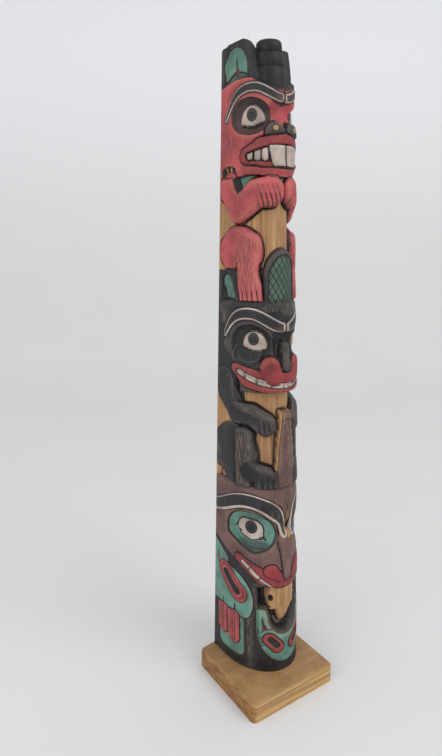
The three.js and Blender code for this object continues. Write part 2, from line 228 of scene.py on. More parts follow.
class Canvas:
    """The whole carved skin as arrays: height of the carving and the paints on it."""

    def __init__(self, side: Array, z: Array, edge: Array) -> None:
        """Sets up bare wood.

        Args:
            side: signed distance round from the front middle.
            z: height.
            edge: distance still left to the back corner, negative round it.
        """
        middle = np.interp(z, STRAY_HEIGHTS, STRAY_FRONT)
        outer = np.interp(z, STRAY_HEIGHTS, STRAY_SIDES)
        self.s = side - mix(middle, outer, smooth(10.0, 45.0, np.abs(side)))
        self.a = np.abs(self.s)
        self.z = z
        self.edge = edge
        self.h = np.zeros(side.shape)
        self.window: Array = np.full(side.shape, -99.0)
        self.coats = {coat: np.full(side.shape, -30.0) for coat in Coat}
        self.coats[Coat.WOOD][:] = 30.0
        names = ("cut", "cut_near", "fine", "fine_near", "pale", "pale_near")
        self.lines = {name: np.full(side.shape, NO_LINE) for name in names}
        # Worn paint, and in two places a painted highlight.
        self.wear_and_highlight = np.zeros(side.shape)
        # Painted shade: how far each place is darkened to stand in for shade.
        self.painted_shade = np.zeros(side.shape)
        self.across = self.s.copy()
        self.along = z.copy()

    def open(self, low: Array | float, high: Array | float) -> None:
        """Keeps the paint and lines that follow between two heights."""
        self.window = slab(self.z, low, high)

    def cover(self, d: Array) -> None:
        """Takes away the lines that a new form hides.

        Args:
            d: signed distance to the shape, negative inside.
        """
        hidden = d < -0.8
        for name in self.lines:
            self.lines[name] = np.where(hidden, NO_LINE, self.lines[name])

    def carve(self, d: Array, level: float | Array, width: float) -> None:
        """Brings the surface to a level inside a shape, over a rounded shoulder.

        Args:
            d: signed distance to the shape, negative inside.
            level: height to bring the surface to.
            width: how far in the change reaches.
        """
        t = np.clip(-d / width, 0.0, 1.0)
        self.h = mix(self.h, level, np.sqrt(1.0 - (1.0 - t) ** 2))
        self.cover(np.maximum(d, self.window))

    def sink(self, d: Array, level: float | Array, width: float) -> None:
        """Brings the surface to a level inside a shape, over a plain slope."""
        self.h = mix(self.h, level, smooth(0.0, width, -d))

    def swell(self, d: Array, height: float, width: float) -> None:
        """Raises the surface inside a shape by a soft dome."""
        self.h = self.h + height * smooth(0.0, width, -d)

    def paint(self, d: Array, coat: Coat) -> None:
        """Paints the inside of a shape, keeping the edges of all paints exact.

        Args:
            d: signed distance to the shape, negative inside.
            coat: the paint.
        """
        d = np.maximum(d, self.window)
        for other, grown in self.coats.items():
            if other is coat:
                np.maximum(grown, -d, out=grown)
            else:
                np.minimum(grown, d, out=grown)

    def line(
        self, d: Array, reach: Array | float = 0.0, half: float = 0.55, depth: float = 0.5,
        pale: bool = False, fine: bool = False
    ) -> None:
        """Marks a thin line where d is nought: a cut, which the material darkens with painted shade, or a
        pale line that isn't cut in.

        Args:
            d: signed distance to the line.
            reach: how far outside the line's own length a place is, 0 along it.
            half: half width of the line.
            depth: depth of the cut.
            pale: whether it is a pale line, which isn't cut in: mostly a bare edge, in a few places a
                painted highlight.
            fine: whether it crosses other cuts, and so is kept apart from them.
        """
        name = "pale" if pale else "fine" if fine else "cut"
        away = np.maximum(np.abs(d), np.maximum(reach, self.window))
        near = away - half + 0.5
        nearer = near < self.lines[name + "_near"]
        spread = np.clip(d * (0.5 / half), -NO_LINE, NO_LINE)
        self.lines[name] = np.where(nearer, spread, self.lines[name])
        self.lines[name + "_near"] = np.where(nearer, near, self.lines[name + "_near"])
        if not pale:
            self.h = self.h - depth * (1.0 - smooth(0.0, 1.6, away))

    def scuff_and_highlight(self, d: Array, amount: float, width: float) -> None:
        """Wears the paint inside a shape, and in two places lays a painted highlight the same way."""
        self.wear_and_highlight = np.maximum(self.wear_and_highlight, amount * smooth(0.0, width, -np.maximum(d, self.window)))

    def paint_shade(self, d: Array, amount: float, width: float) -> None:
        """Paints shade inside a shape: a thin dark wash over the paint, standing in for shade in a hollow,
        crease or cut.
        """
        self.painted_shade = np.maximum(self.painted_shade, amount * smooth(0.0, width, -np.maximum(d, self.window)))

    def clean(self, d: Array) -> None:
        """Takes the painted shade and the worn places away from inside a shape.

        Args:
            d: signed distance to the shape, negative inside.
        """
        keep = smooth(-1.0, 0.5, d)
        self.painted_shade = self.painted_shade * keep
        self.wear_and_highlight = self.wear_and_highlight * keep

    def stroke(self, d: Array, stations: list[Station]) -> None:
        """Turns the brush and knife marks inside a shape along a chain of bars.

        Args:
            d: signed distance to the shape, negative inside.
            stations: (a, z, radius) along the chain.
        """
        best = np.full(self.a.shape, 1e9)
        across, along, run = self.across.copy(), self.along.copy(), 0.0
        for (a0, z0, _), (a1, z1, _) in zip(stations, stations[1:]):
            ua, uz = a1 - a0, z1 - z0
            size = math.hypot(ua, uz)
            t = np.clip(((self.a - a0) * ua + (self.z - z0) * uz) / (size * size), 0.0, 1.0)
            off = np.hypot(self.a - a0 - ua * t, self.z - z0 - uz * t)
            side = ((self.a - a0) * uz - (self.z - z0) * ua) / size
            closer = (off < best) & (d < 0.0)
            across = np.where(closer, side, across)
            along = np.where(closer, run + t * size, along)
            best = np.minimum(best, off)
            run += size
        self.across, self.along = across, along


@dataclass(frozen=True)
class Brow:
    """A brow that runs from beside the nose over a peak and down to the temple.

    It is a black band inside a white outline, closed off before the middle of the face.
    """

    inner: tuple[float, float]
    peak: tuple[float, float]
    tip: tuple[float, float]
    half: float
    inner_half: float
    tip_half: float
    outline: float = 2.1
    lift: float = 0.0
    closing: float = 3.2
    droop: float = 2.3
    inner_round: bool = False
    outer_sweep: bool = False

    def path(self, steps: int = 14) -> list[Station]:
        """Returns the stations along the middle of the brow.

        Args:
            steps: stations on each half of the brow.

        Returns:
            The stations.
        """
        pts: list[Station] = []
        for i in range(steps + 1):
            t = i / steps
            if self.inner_round:
                fall = 1.0 - math.sqrt(1.0 - (1.0 - t) ** 2)
            else:
                fall = (1.0 + math.cos(math.pi * t)) / 2.0
            half = mix(self.inner_half, self.half, min(1.0, 4.0 * t))
            pts.append((mix(self.inner[0], self.peak[0], t), mix(self.peak[1], self.inner[1], fall), half))
        for i in range(1, steps + 1):
            t = i / steps
            fall = (1.0 - math.cos(math.pi * t)) / 2.0 if self.outer_sweep else t ** self.droop
            a = mix(self.peak[0], self.tip[0], t)
            pts.append((a, mix(self.peak[1], self.tip[1], fall), mix(self.half, self.tip_half, t * t)))
        return pts

    def draw(self, c: Canvas, level: float, width: float) -> None:
        """Raises the brow and paints it.

        Args:
            c: the skin to carve and paint.
            level: height of the brow.
            width: how wide its shoulder is.
        """
        d = limb(c.a, c.z, self.path())
        c.carve(d, level, width)
        c.paint(np.maximum(d, 0.7 - c.a), Coat.WHITE)
        dark = limb(c.a, c.z - self.lift, self.path()) + self.outline
        c.paint(np.maximum(dark, self.closing - c.a), Coat.BLACK)
        c.line(d)


@dataclass(frozen=True)
class Digits:
    """The fingers of a hand or the toes of a foot, as rounded ridges with cuts between."""

    first: float
    pitch: float
    count: int
    low: float
    high: float
    lean: float = 5.0
    swell: float = 0.9
    dark: float = 1.0

    def cut(self, c: Canvas, limits: Array) -> None:
        """Cuts the digits inside the shape whose distance is given.

        Args:
            c: the skin to carve and paint.
            limits: distance to the hand or foot.
        """
        rise = np.clip((c.z - self.low) / (self.high - self.low), 0.0, 1.2)
        place = (c.a - self.first - self.lean * rise ** 1.4) / self.pitch
        inside = (place > 0.0) & (place < self.count) & (limits < 0.0)
        ridge = np.sqrt(np.clip(1.0 - (2.0 * np.mod(place, 1.0) - 1.0) ** 2, 0.0, 1.0)) - 0.75
        fade = (1.0 - smooth(0.5, 1.0, rise)) * smooth(0.0, 2.0, -limits)
        c.h = c.h + np.where(inside, self.swell * 1.6 * ridge * fade, 0.0)
        reach = np.maximum(np.maximum(limits + 0.4, c.z - self.high), self.low - c.z)
        for k in range(1, self.count):
            d = (place - k) * self.pitch
            # Painted shade in the cut between two digits.
            c.paint_shade(np.maximum(np.abs(d) - 1.1, reach), 0.8 * self.dark, 1.1)
            length = np.maximum(0.0, np.maximum(reach, c.z - mix(self.low, self.high, 0.55)))
            c.line(d, length, 0.32 * self.dark, 0.7)


@dataclass(frozen=True)
class Eye:
    """A carved eye: hollow socket, white of the eye between lids, and a round iris."""

    socket: tuple[float, float, float, float]
    white: tuple[float, float, float, float]
    floor: tuple[float, float, float]
    iris: tuple[float, float, float]

    def shape(self, c: Canvas) -> Array:
        """Returns the distance to the white of the eye.

        Args:
            c: the skin to carve and paint.

        Returns:
            The signed distance in millimetres.
        """
        ca = self.white[0]
        low, outer, inner = self.floor
        floor = low + outer * np.maximum(0.0, c.a - ca) + inner * np.maximum(0.0, ca - c.a) - c.z
        return np.maximum(ellipse(c.a, c.z, *self.white), floor)

    def draw(self, c: Canvas, level: float = -1.6) -> None:
        """Raises the eyeball and paints the lids, the white and the iris.

        Args:
            c: the skin to carve and paint.
            level: height of the eyeball.
        """
        white = self.shape(c)
        c.carve(white - 2.6, level, 9.0)
        c.clean(white - 2.4)
        c.paint(white - 2.1, Coat.WHITE)
        c.scuff_and_highlight(np.maximum(white - 2.1, 0.6 - white), 1.0, 0.6)
        c.line(white - 2.3, half=0.45)
        c.line(white - 0.7, half=0.5)
        iris = ellipse(c.a, c.z, self.iris[0], self.iris[1], self.iris[2], self.iris[2] + 0.3)
        c.paint(np.maximum(iris, white + 0.6), Coat.BLACK)
        c.line(iris + 2.0, np.maximum(0.0, white + 1.0), 0.14, pale=True)


@dataclass(frozen=True)
class Beaver:
    """The top figure: ringed hat, upright ears, big front teeth and a crosshatched tail."""

    brow: Brow = Brow((2.0, 689.7), (35.0, 700.0), (74.5, 673.0), 5.1, 4.8, 3.2, 2.3)
    eye: Eye = Eye(
        (41.0, 672.5, 24.5, 17.5), (37.5, 667.5, 14.8, 15.5), (663.6, 0.16, 0.30), (37.7, 674.0, 6.0)
    )
    chin: float = 614.5
    low: float = 484.5
    lips: tuple[Station, ...] = ((43.0, 634.0, 9.2), (25.0, 637.5, 15.0), (0.0, 639.0, 17.3))
    shoulder: tuple[float, float] = (71.5, 602.0)
    arm: tuple[Station, ...] = ((71.5, 602.0, 17.5), (58.0, 580.0, 13.5))
    forearm: tuple[Station, ...] = ((56.0, 579.5, 13.8), (34.0, 597.0, 15.8), (16.0, 599.0, 16.9))
    hand: Digits = Digits(0.8, 4.9, 6, 581.5, 607.0, 7.0)
    thigh: tuple[float, float, float, float] = (58.0, 537.0, 32.0, 28.0)
    shin: tuple[Station, ...] = (
        (41.0, 545.0, 13.5), (45.5, 516.0, 13.8), (43.3, 500.0, 15.3), (41.0, 478.0, 14.8)
    )
    toes: Digits = Digits(27.0, 5.6, 5, 484.5, 503.0, 2.5, 0.9, 0.8)
    tail: tuple[float, float, float, float] = (27.5, 540.5, 20.8, 533.5)
    tail_cuts: float = 6.6

    def head(self, c: Canvas) -> None:
        """Carves and paints the head.

        Args:
            c: the skin to carve and paint.
        """
        a, z = c.a, c.z
        chin = self.chin + 1.2 * np.sin((a - 24.0) * 0.105)
        keep = c.h.copy()
        c.open(chin, 760.0)
        c.paint(chin - z, Coat.RED)
        c.h = -2.2 * smooth(622.0, 616.0, z)
        c.sink(ellipse(a, z, 0.0, 674.0, 26.0, 19.0), -8.0, 15.0)
        socket = ellipse(a, z, *self.eye.socket)
        c.carve(socket, -6.5, 9.0)
        c.paint(socket, Coat.SHADE)
        # Painted shade in the upper part of the sunken socket, under the brow.
        c.paint_shade(np.maximum(socket, 667.0 + 0.25 * (a - 40.0) - z), 1.0, 3.5)
        c.paint_shade(np.maximum(ellipse(a, z, 25.0, 677.0, 13.0, 13.0), socket), 1.0, 4.0)
        c.line(socket, np.maximum(0.0, a - 40.0), 0.7)
        self.eye.draw(c, -2.4)
        self.brow.draw(c, 0.7, 3.0)
        c.line(a - 0.4, np.maximum(0.0, slab(z, 684.5, 696.0)), 0.55)
        nose = np.maximum(ellipse(a, z, 12.0, 654.5, 12.3, 13.2), 656.0 - 0.2 * a - z)
        c.carve(nose, 3.0, 6.0)
        c.paint(nose, Coat.BLACK)
        c.line(nose, half=0.6)
        # A pale line along the top of the nose's rim: a painted highlight.
        c.line(nose + 2.0, np.maximum(0.0, 656.0 - z), 0.3, pale=True)
        c.paint(np.maximum(np.abs(a), z - 662.0) - 0.3, Coat.RED)
        hole = ellipse(a, z, 12.6, 660.3, 2.9, 2.8)
        c.paint(hole, Coat.WOOD)
        self._mouth(c)
        self._jaw_notches(c)
        c.h = np.where(z > chin, c.h, keep)

    def _mouth(self, c: Canvas) -> None:
        """Cuts the mouth with dark lips, three small teeth and a big front tooth a side.

        Args:
            c: the skin to carve and paint.
        """
        a, z = c.a, c.z
        lips = limb(a, z, list(self.lips))
        c.carve(lips, 1.4, 4.5)
        c.paint(lips, Coat.DARK_RED)
        c.line(lips, half=0.75, depth=1.0)
        inner = lips + 5.6
        c.scuff_and_highlight(np.maximum(np.maximum(inner, 634.0 - z), -1.4 - inner), 0.5, 0.8)
        gap = np.maximum(limb(a, z, [(40.0, 633.5, 5.0), (22.0, 635.5, 7.8), (0.0, 636.5, 9.0)]), 627.6 - z)
        c.carve(gap, -1.8, 2.0)
        # Painted shade in the sunken gap above the teeth.
        c.paint_shade(gap, 0.7, 1.5)
        for mid, low in ((40.2, 629.4), (31.6, 628.4), (23.6, 628.4)):
            half = 3.7 + 0.4 * (mid < 39.0)
            top = 636.4 + 0.28 * (44.0 - a)
            tooth = np.maximum(np.abs(a - mid) - half, z - top)
            tooth = np.maximum(tooth, low + half - np.sqrt(np.maximum(0.0, half ** 2 - (a - mid) ** 2)) - z)
            c.carve(tooth, 0.2, 2.4)
            c.clean(tooth)
            c.paint(tooth + 0.2, Coat.WHITE)
            c.line(tooth, half=0.45, depth=0.7)
        lean = (z - 624.0) * 0.21
        corner = np.hypot(np.maximum(0.0, a - 13.0 - lean), np.maximum(0.0, 626.5 - z)) - 3.1
        front = np.maximum(np.maximum(slab(a, 0.4, 16.1 + lean), slab(z, 623.4, 645.3 - 0.05 * a)), corner)
        c.carve(front, 1.8, 2.6)
        c.clean(front)
        c.paint(front, Coat.WHITE)
        c.line(front, half=0.5, depth=0.8)

    def _jaw_notches(self, c: Canvas) -> None:
        """Cuts the row of notches that arches round the shoulder.

        Args:
            c: the skin to carve and paint.
        """
        a, z = c.a, c.z
        ring = np.hypot(a - self.shoulder[0], z - self.shoulder[1])
        band = np.maximum(np.maximum(slab(ring, 18.0, 24.0), 615.0 - z), slab(a, 59.0, 84.0))
        c.carve(band, -3.2, 2.5)
        c.paint(band, Coat.BLACK)
        for mid in (76.5, 67.5):
            strip = np.maximum(np.abs(a - mid - (z - 622.0) * 0.15) - 1.7, band + 0.4)
            c.carve(strip, -0.8, 1.4)
            c.paint(strip, Coat.WOOD)

    def ears(self, c: Canvas) -> None:
        """Paints the upright ears and hollows an arch in each.

        Args:
            c: the skin to carve and paint.
        """
        a, z = c.a, c.z
        edge = 709.8 - 4.0 * ((a - 47.0) / 32.0) ** 2
        c.open(-99.0, 790.0)
        c.carve(np.maximum(edge - z, 24.0 - a), -3.2, 1.5)
        c.paint(edge - z, Coat.BLACK)
        c.line(edge - z, half=0.7)
        front = 41.5 + 0.16 * np.maximum(0.0, z - 712.0)
        hollow = arch(a - 60.0 - (z - 708.0) * 0.05, z, 17.4, 741.0, 17.0)
        hollow = np.maximum(np.maximum(hollow, front - a), edge + 0.4 - z)
        c.carve(hollow, -4.8, 2.0)
        c.paint(hollow, Coat.TEAL)
        c.line(hollow + 0.3, pale=True, half=0.4)
        roof = z - (717.0 - 0.017 * (a - 58.0) ** 2)
        c.paint(np.maximum(roof, hollow + 0.6), Coat.GREEN)
        c.line(roof, np.maximum(0.0, hollow + 0.5), 0.7)
        slit = limb(a, z, [(61.5, 731.0, 0.4), (60.5, 722.0, 1.3), (59.0, 716.5, 3.2)])
        curve = np.maximum(np.maximum(slab(roof, -0.5, 1.8), slab(a, 57.0, 76.0)), hollow + 0.6)
        slit = np.minimum(slit, curve)
        c.carve(slit, -6.4, 1.5)
        c.paint(slit, Coat.DARK_RED)
        # Painted shade in the slit.
        c.paint_shade(slit, 0.8, 1.0)

    def body(self, c: Canvas) -> None:
        """Carves and paints the arms, belly, legs, the bear's ear and the tail.

        Args:
            c: the skin to carve and paint.
        """
        a, z = c.a, c.z
        chin = self.chin + 1.2 * np.sin((a - 24.0) * 0.105)
        here = slab(z, self.low, chin)
        keep = c.h.copy()
        c.open(self.low, chin)
        c.h = mix(-9.0, -3.0, smooth(36.0, 66.0, a))
        neck = np.maximum(599.0 - z, a - 62.0)
        c.sink(neck, -5.6, 4.0)
        c.paint(neck, Coat.TEAL)
        thigh = np.maximum(ellipse(a, z, *self.thigh), 518.0 - z)
        c.carve(thigh, 0.2, 10.0)
        c.paint(thigh, Coat.RED)
        c.line(thigh, half=0.75)
        c.stroke(thigh, [(30.0, 560.0, 0.0), (58.0, 548.0, 0.0), (84.0, 520.0, 0.0)])
        c.scuff_and_highlight(np.maximum(thigh, a - 66.0), 0.22, 6.0)
        self._ear_of_bear(c)
        self._tail(c)
        shin = limb(a, z, list(self.shin))
        c.carve(shin, 1.3, 7.0)
        c.paint(shin, Coat.RED)
        c.line(shin, np.maximum(0.0, z - 524.0), 0.8, 0.9)
        # Painted shade along the edge of the shin where it meets the thigh.
        c.paint_shade(np.maximum(np.abs(shin) - 0.8, slab(z, 520.0, 548.0)), 0.5, 1.2)
        c.stroke(shin, list(self.shin))
        c.scuff_and_highlight(np.maximum(shin + 1.0, z - 553.0), 0.6, 3.0)
        self.toes.cut(c, shin)
        self._arms(c)
        c.h = np.where(here < 0, c.h, keep)

    def _arms(self, c: Canvas) -> None:
        """Lays the upper arm, then the forearm and hand over it.

        Args:
            c: the skin to carve and paint.
        """
        a, z = c.a, c.z
        arm = limb(a, z, list(self.arm))
        c.carve(arm, 1.2, 9.0)
        c.paint(arm, Coat.RED)
        c.line(arm, half=0.8)
        c.stroke(arm, list(self.arm))
        pit = limb(a, z, [(60.5, 613.0, 3.2), (56.0, 603.0, 3.4), (54.5, 597.0, 1.2)])
        c.carve(pit, -4.5, 2.5)
        c.paint(pit, Coat.BLACK)
        forearm = limb(a, z, list(self.forearm))
        c.carve(forearm, 1.8, 8.5)
        c.paint(forearm, Coat.RED)
        c.line(forearm, np.maximum(0.0, np.maximum(a - 52.0, 599.0 - z - 60.0 * (a < 44.0))), 0.7, 0.9)
        c.line(forearm, np.maximum(0.0, a - 46.0), 0.75, 0.9)
        # Painted shade in the crease where the forearm meets the upper arm.
        c.paint_shade(np.maximum(np.abs(forearm) - 0.6, slab(a, 50.0, 68.0)), 0.55, 1.2)
        c.stroke(forearm, list(self.forearm))
        # Painted shade under the wrist.
        c.paint_shade(np.maximum(limb(a, z, [(31.5, 584.0, 3.0), (29.5, 592.0, 1.5)]), forearm), 0.6, 2.5)
        self.hand.cut(c, np.maximum(forearm, 581.5 - z))

    def _ear_of_bear(self, c: Canvas) -> None:
        """Sets the bear's ear under the thigh, black with a blue-green middle.

        Args:
            c: the skin to carve and paint.
        """
        a, z = c.a, c.z
        hood = np.maximum(56.0 - a, z - 516.8)
        c.sink(hood, -2.8, 2.0)
        c.paint(hood, Coat.BLACK)
        chain = [(80.0, 505.0, 7.0), (78.0, 498.0, 8.6), (74.5, 484.0, 9.8), (72.5, 470.0, 9.8)]
        inner = np.maximum(limb(a, z, chain), self.low + 0.8 - z)
        c.carve(inner, -4.2, 1.6)
        c.paint(inner, Coat.TEAL)
        c.line(inner, half=0.5)
        rim = limb(a, z, [(71.5, 509.0, 0.1), (67.0, 497.0, 0.1), (61.0, 486.0, 0.1)]) - 0.2
        c.line(rim, 0.0, 0.5, pale=True)
        c.paint(np.maximum(z - self.low - 1.2, slab(a, 57.0, 85.0)), Coat.WOOD)

    def _tail(self, c: Canvas) -> None:
        """Hangs the tail between the feet, crosshatched inside a black border.

        Args:
            c: the skin to carve and paint.
        """
        a, z = c.a, c.z
        half, top, inner_half, inner_top = self.tail
        outer = arch(a, z, half, top, 27.0)
        gap = np.maximum(slab(a, 24.0, 58.0), z - 519.0)
        c.sink(gap, -6.0, 1.5)
        c.paint(gap, Coat.BLACK)
        c.carve(outer, -2.4, 5.0)
        c.paint(outer, Coat.BLACK)
        inner = arch(a, z, inner_half, inner_top, 25.0)
        c.carve(inner, -3.4, 1.8)
        c.paint(inner, Coat.GREEN)
        c.line(inner, half=0.6)
        for slope, fine in ((1.45, False), (-1.25, True)):
            size = math.hypot(1.0, slope)
            run = (c.s * slope + z - 500.0) / size
            cut = np.mod(run + self.tail_cuts / 2.0, self.tail_cuts) - self.tail_cuts / 2.0
            c.line(cut, np.maximum(0.0, inner + 0.6), 0.5, 0.35, fine=fine)
            if fine:
                c.line(cut - 1.1, np.maximum(0.0, inner + 1.0), 0.25, pale=True)


@dataclass(frozen=True)
class Bear:
    """The middle figure: black, with red lips and nostrils and paws over its belly."""

    brow: Brow = Brow((2.0, 455.3), (42.0, 471.0), (80.0, 445.0), 7.0, 5.8, 3.6, 2.6, 0.0, 4.2, 2.5)
    eye: Eye = Eye(
        (43.0, 435.0, 27.0, 24.0), (38.0, 436.3, 14.6, 14.2), (430.6, 0.25, 0.1), (38.7, 442.8, 6.6)
    )
    chin: float = 382.0
    low: float = 268.5
    top: float = 484.5
    lips: tuple[Station, ...] = (
        (61.5, 409.0, 6.2), (45.0, 399.5, 11.8), (25.0, 394.8, 12.5), (0.0, 393.5, 12.2)
    )
    teeth: tuple[Station, ...] = (
        (56.0, 405.5, 3.0), (45.0, 400.3, 3.5), (30.0, 395.0, 3.7), (15.0, 391.3, 3.5), (0.0, 389.8, 3.2)
    )
    arm: tuple[Station, ...] = ((82.0, 390.0, 17.0), (78.0, 372.0, 16.5), (63.0, 357.0, 15.0))
    forearm: tuple[Station, ...] = ((62.0, 355.5, 14.2), (42.0, 354.5, 13.4), (25.5, 344.0, 14.5))
    hand: Digits = Digits(10.2, 4.9, 5, 327.5, 352.0, 6.0)
    thigh: tuple[float, float, float, float] = (70.0, 304.0, 36.0, 38.0)
    shin: tuple[Station, ...] = ((51.0, 330.0, 12.5), (52.0, 300.0, 11.8), (52.0, 262.0, 11.5))
    foot: tuple[Station, ...] = ((44.0, 288.0, 12.0), (27.0, 281.0, 14.0), (27.0, 266.0, 14.5))
    toes: Digits = Digits(13.0, 5.4, 4, 266.5, 286.0, 3.0, 0.9, 0.7)

    def head(self, c: Canvas) -> None:
        """Carves and paints the head.

        Args:
            c: the skin to carve and paint.
        """
        a, z = c.a, c.z
        keep = c.h.copy()
        c.open(self.chin, self.top)
        c.paint(slab(z, self.chin, self.top), Coat.BLACK)
        c.h = -1.6 * smooth(479.0, self.top, z)
        c.sink(ellipse(a, z, 0.0, 437.0, 24.0, 26.0), -8.5, 15.0)
        socket = ellipse(a, z, *self.eye.socket)
        c.carve(socket, -6.8, 9.0)
        bag = np.maximum(ellipse(a, z, 46.0, 426.5, 21.0, 16.5), z - 433.0)
        c.swell(bag, 2.6, 5.0)
        for middle, wide, tall, top, inner, half in (
            (426.5, 21.5, 17.0, 433.0, 28.0, 0.4),
            (427.5, 16.0, 11.5, 428.0, 34.0, 0.25),
        ):
            fold = ellipse(a, z, 46.0, middle, wide, tall)
            c.line(fold, np.maximum(0.0, np.maximum(z - top, inner - a)), half, pale=True)
        self.eye.draw(c, -2.6)
        self.brow.draw(c, 0.9, 3.0)
        c.line(a - 0.3, np.maximum(0.0, slab(z, 446.0, 463.0)), 0.6)
        self._muzzle(c)
        c.scuff_and_highlight(ellipse(c.s, z, 8.0, 475.0, 18.0, 7.5), 0.9, 3.0)
        c.scuff_and_highlight(ellipse(c.s, z, -22.0, 476.0, 12.0, 3.5), 0.8, 1.5)
        c.scuff_and_highlight(ellipse(a, z, 84.0, 468.0, 12.0, 13.0), 0.75, 6.0)
        c.scuff_and_highlight(ellipse(a, z, 76.0, 434.0, 8.0, 11.0), 0.9, 5.0)
        c.scuff_and_highlight(ellipse(a, z, 8.0, 430.0, 5.0, 7.0), 1.0, 3.0)
        c.h = np.where(slab(z, self.chin, self.top) < 0, c.h, keep)
        self._shoulder(c)

    def _muzzle(self, c: Canvas) -> None:
        """Adds lips, a band of teeth, domed nostrils and a black nose.

        Args:
            c: the skin to carve and paint.
        """
        a, z = c.a, c.z
        lips = limb(a, z, list(self.lips))
        c.carve(lips, 1.8, 4.5)
        c.paint(lips, Coat.DARK_RED)
        c.line(lips, half=0.65, depth=0.8)
        teeth = limb(a, z, list(self.teeth))
        c.carve(teeth, 0.2, 1.8)
        c.paint(teeth, Coat.WHITE)
        c.line(teeth, half=0.5)
        middle = limb(a, z, [(s[0], s[1], 0.0) for s in self.teeth])
        c.line(middle - 0.1, np.maximum(0.0, teeth + 1.0), 0.32, 0.3, fine=True)
        for cut in (3.0, 18.0, 34.0, 48.0):
            c.line(a - cut, np.maximum(0.0, teeth), 0.45)
        nostril = limb(a, z, [(19.5, 412.0, 12.2), (15.0, 402.0, 11.0)])
        c.carve(nostril, 2.8, 8.0)
        c.paint(nostril, Coat.DARK_RED)
        c.line(nostril, np.maximum(0.0, 407.0 - z), 0.7)
        # Painted shade in the middle of the nostril.
        c.paint_shade(ellipse(a, z, 21.0, 411.0, 7.0, 7.0), 0.3, 4.0)
        nose = limb(a, z, [(0.0, 436.0, 4.8), (0.0, 412.0, 7.2)])
        c.carve(nose, 3.2, 5.0)
        c.paint(nose, Coat.BLACK)
        c.line(nose, np.maximum(0.0, z - 420.0), 0.5)
        # A grey band down the middle of the nose: a painted highlight, laid as worn paint.
        c.scuff_and_highlight(np.maximum(nose + 3.0, slab(z, 406.0, 428.0)), 0.5, 2.0)

    def _shoulder(self, c: Canvas) -> None:
        """Rounds the shoulder that overlaps the back of the jaw.

        Args:
            c: the skin to carve and paint.
        """
        d = np.maximum(limb(c.a, c.z, list(self.arm)), self.chin - c.z)
        c.carve(d, 0.8, 15.0)
        top = limb(c.a, c.z, list(self.arm))
        c.line(top, half=0.9, depth=1.0)
        c.line(top + 1.4, 0.0, 0.35, pale=True)

    def body(self, c: Canvas) -> None:
        """Carves and paints the arms, belly and legs, and the crest of the bird below.

        Args:
            c: the skin to carve and paint.
        """
        a, z = c.a, c.z
        here = slab(z, self.low, self.chin)
        keep = c.h.copy()
        c.open(self.low, self.chin + 18.0)
        c.h = mix(-9.6, -3.0, smooth(40.0, 68.0, a))
        gap = limb(a, z, [(60.5, 399.0, 3.6), (60.0, 385.0, 5.8), (59.0, 370.0, 6.0)])
        lips = limb(a, z, list(self.lips))
        c.paint(np.maximum(gap, np.maximum(366.0 - z, 0.6 - lips)), Coat.BLACK)
        c.carve(gap, -8.0, 3.0)
        keep = np.where(np.maximum(gap, 0.6 - lips) < 0, mix(keep, -8.0, smooth(0.0, 3.0, -gap)), keep)
        c.open(self.low, self.chin)
        thigh = ellipse(a, z, *self.thigh)
        c.carve(thigh, 0.4, 11.0)
        c.paint(thigh, Coat.BLACK)
        c.scuff_and_highlight(ellipse(a, z, 98.0, 290.0, 12.0, 22.0), 0.9, 7.0)
        c.line(thigh + 1.2, np.maximum(0.0, np.maximum(336.0 - z, a - 84.0)), 0.3, pale=True)
        self._crest(c)
        shin = limb(a, z, list(self.shin))
        c.carve(shin, 1.5, 6.0)
        c.paint(shin, Coat.BLACK)
        c.line(shin, np.maximum(0.0, np.maximum(z - 322.0, 58.0 - a)), 1.2, 1.6)
        c.line(shin + 2.0, np.maximum(0.0, np.maximum(z - 319.0, 58.0 - a)), 0.6, pale=True)
        c.stroke(shin, list(self.shin))
        c.scuff_and_highlight(np.maximum(shin + 1.5, z - 333.0), 1.0, 3.0)
        c.scuff_and_highlight(ellipse(a, z, 50.0, 333.0, 14.0, 7.0), 0.6, 3.0)
        foot = limb(a, z, list(self.foot))
        c.carve(foot, 1.3, 7.0)
        c.clean(foot)
        c.paint(foot, Coat.BLACK)
        c.line(foot, np.maximum(0.0, a - 34.0), 0.7)
        c.line(foot + 1.4, np.maximum(0.0, a - 32.0), 0.35, pale=True)
        self.toes.cut(c, foot)
        self._arms(c)
        c.h = np.where(here < 0, c.h, keep)

    def _crest(self, c: Canvas) -> None:
        """Raises the bird's crest up the belly, plum on top with bare sides.

        Args:
            c: the skin to carve and paint.
        """
        a, z = c.a, c.z
        half = np.interp(z, (268.0, 285.0, 300.0, 320.0, 340.0, 358.0), (16.0, 14.2, 12.2, 10.8, 8.0, 5.8))
        crest = np.maximum(a - half, z - 360.5)
        # Painted shade in the groove at the foot of the crest's sides.
        c.paint_shade(np.maximum(np.abs(crest - 3.4) - 1.4, slab(z, 288.0, 334.0)), 0.9, 1.5)
        c.sink(np.maximum(crest - 3.4, z - 361.0), 0.3, 2.2)
        c.paint(crest, Coat.PLUM)
        c.line(crest, np.maximum(0.0, z - 354.0), 0.35, 0.3)
        c.line(z - 350.0 + 0.06 * a * a, np.maximum(0.0, crest + 0.5), 0.4, 0.3)
        streak = limb(c.s, z, [(0.0, 344.0, 0.6), (3.4, 318.0, 1.2), (4.0, 292.0, 0.6)])
        c.scuff_and_highlight(streak - 1.2, 1.0, 2.0)
        c.scuff_and_highlight(limb(c.s, z, [(-3.0, 357.0, 3.0), (-4.0, 347.0, 2.4)]), 0.9, 2.0)

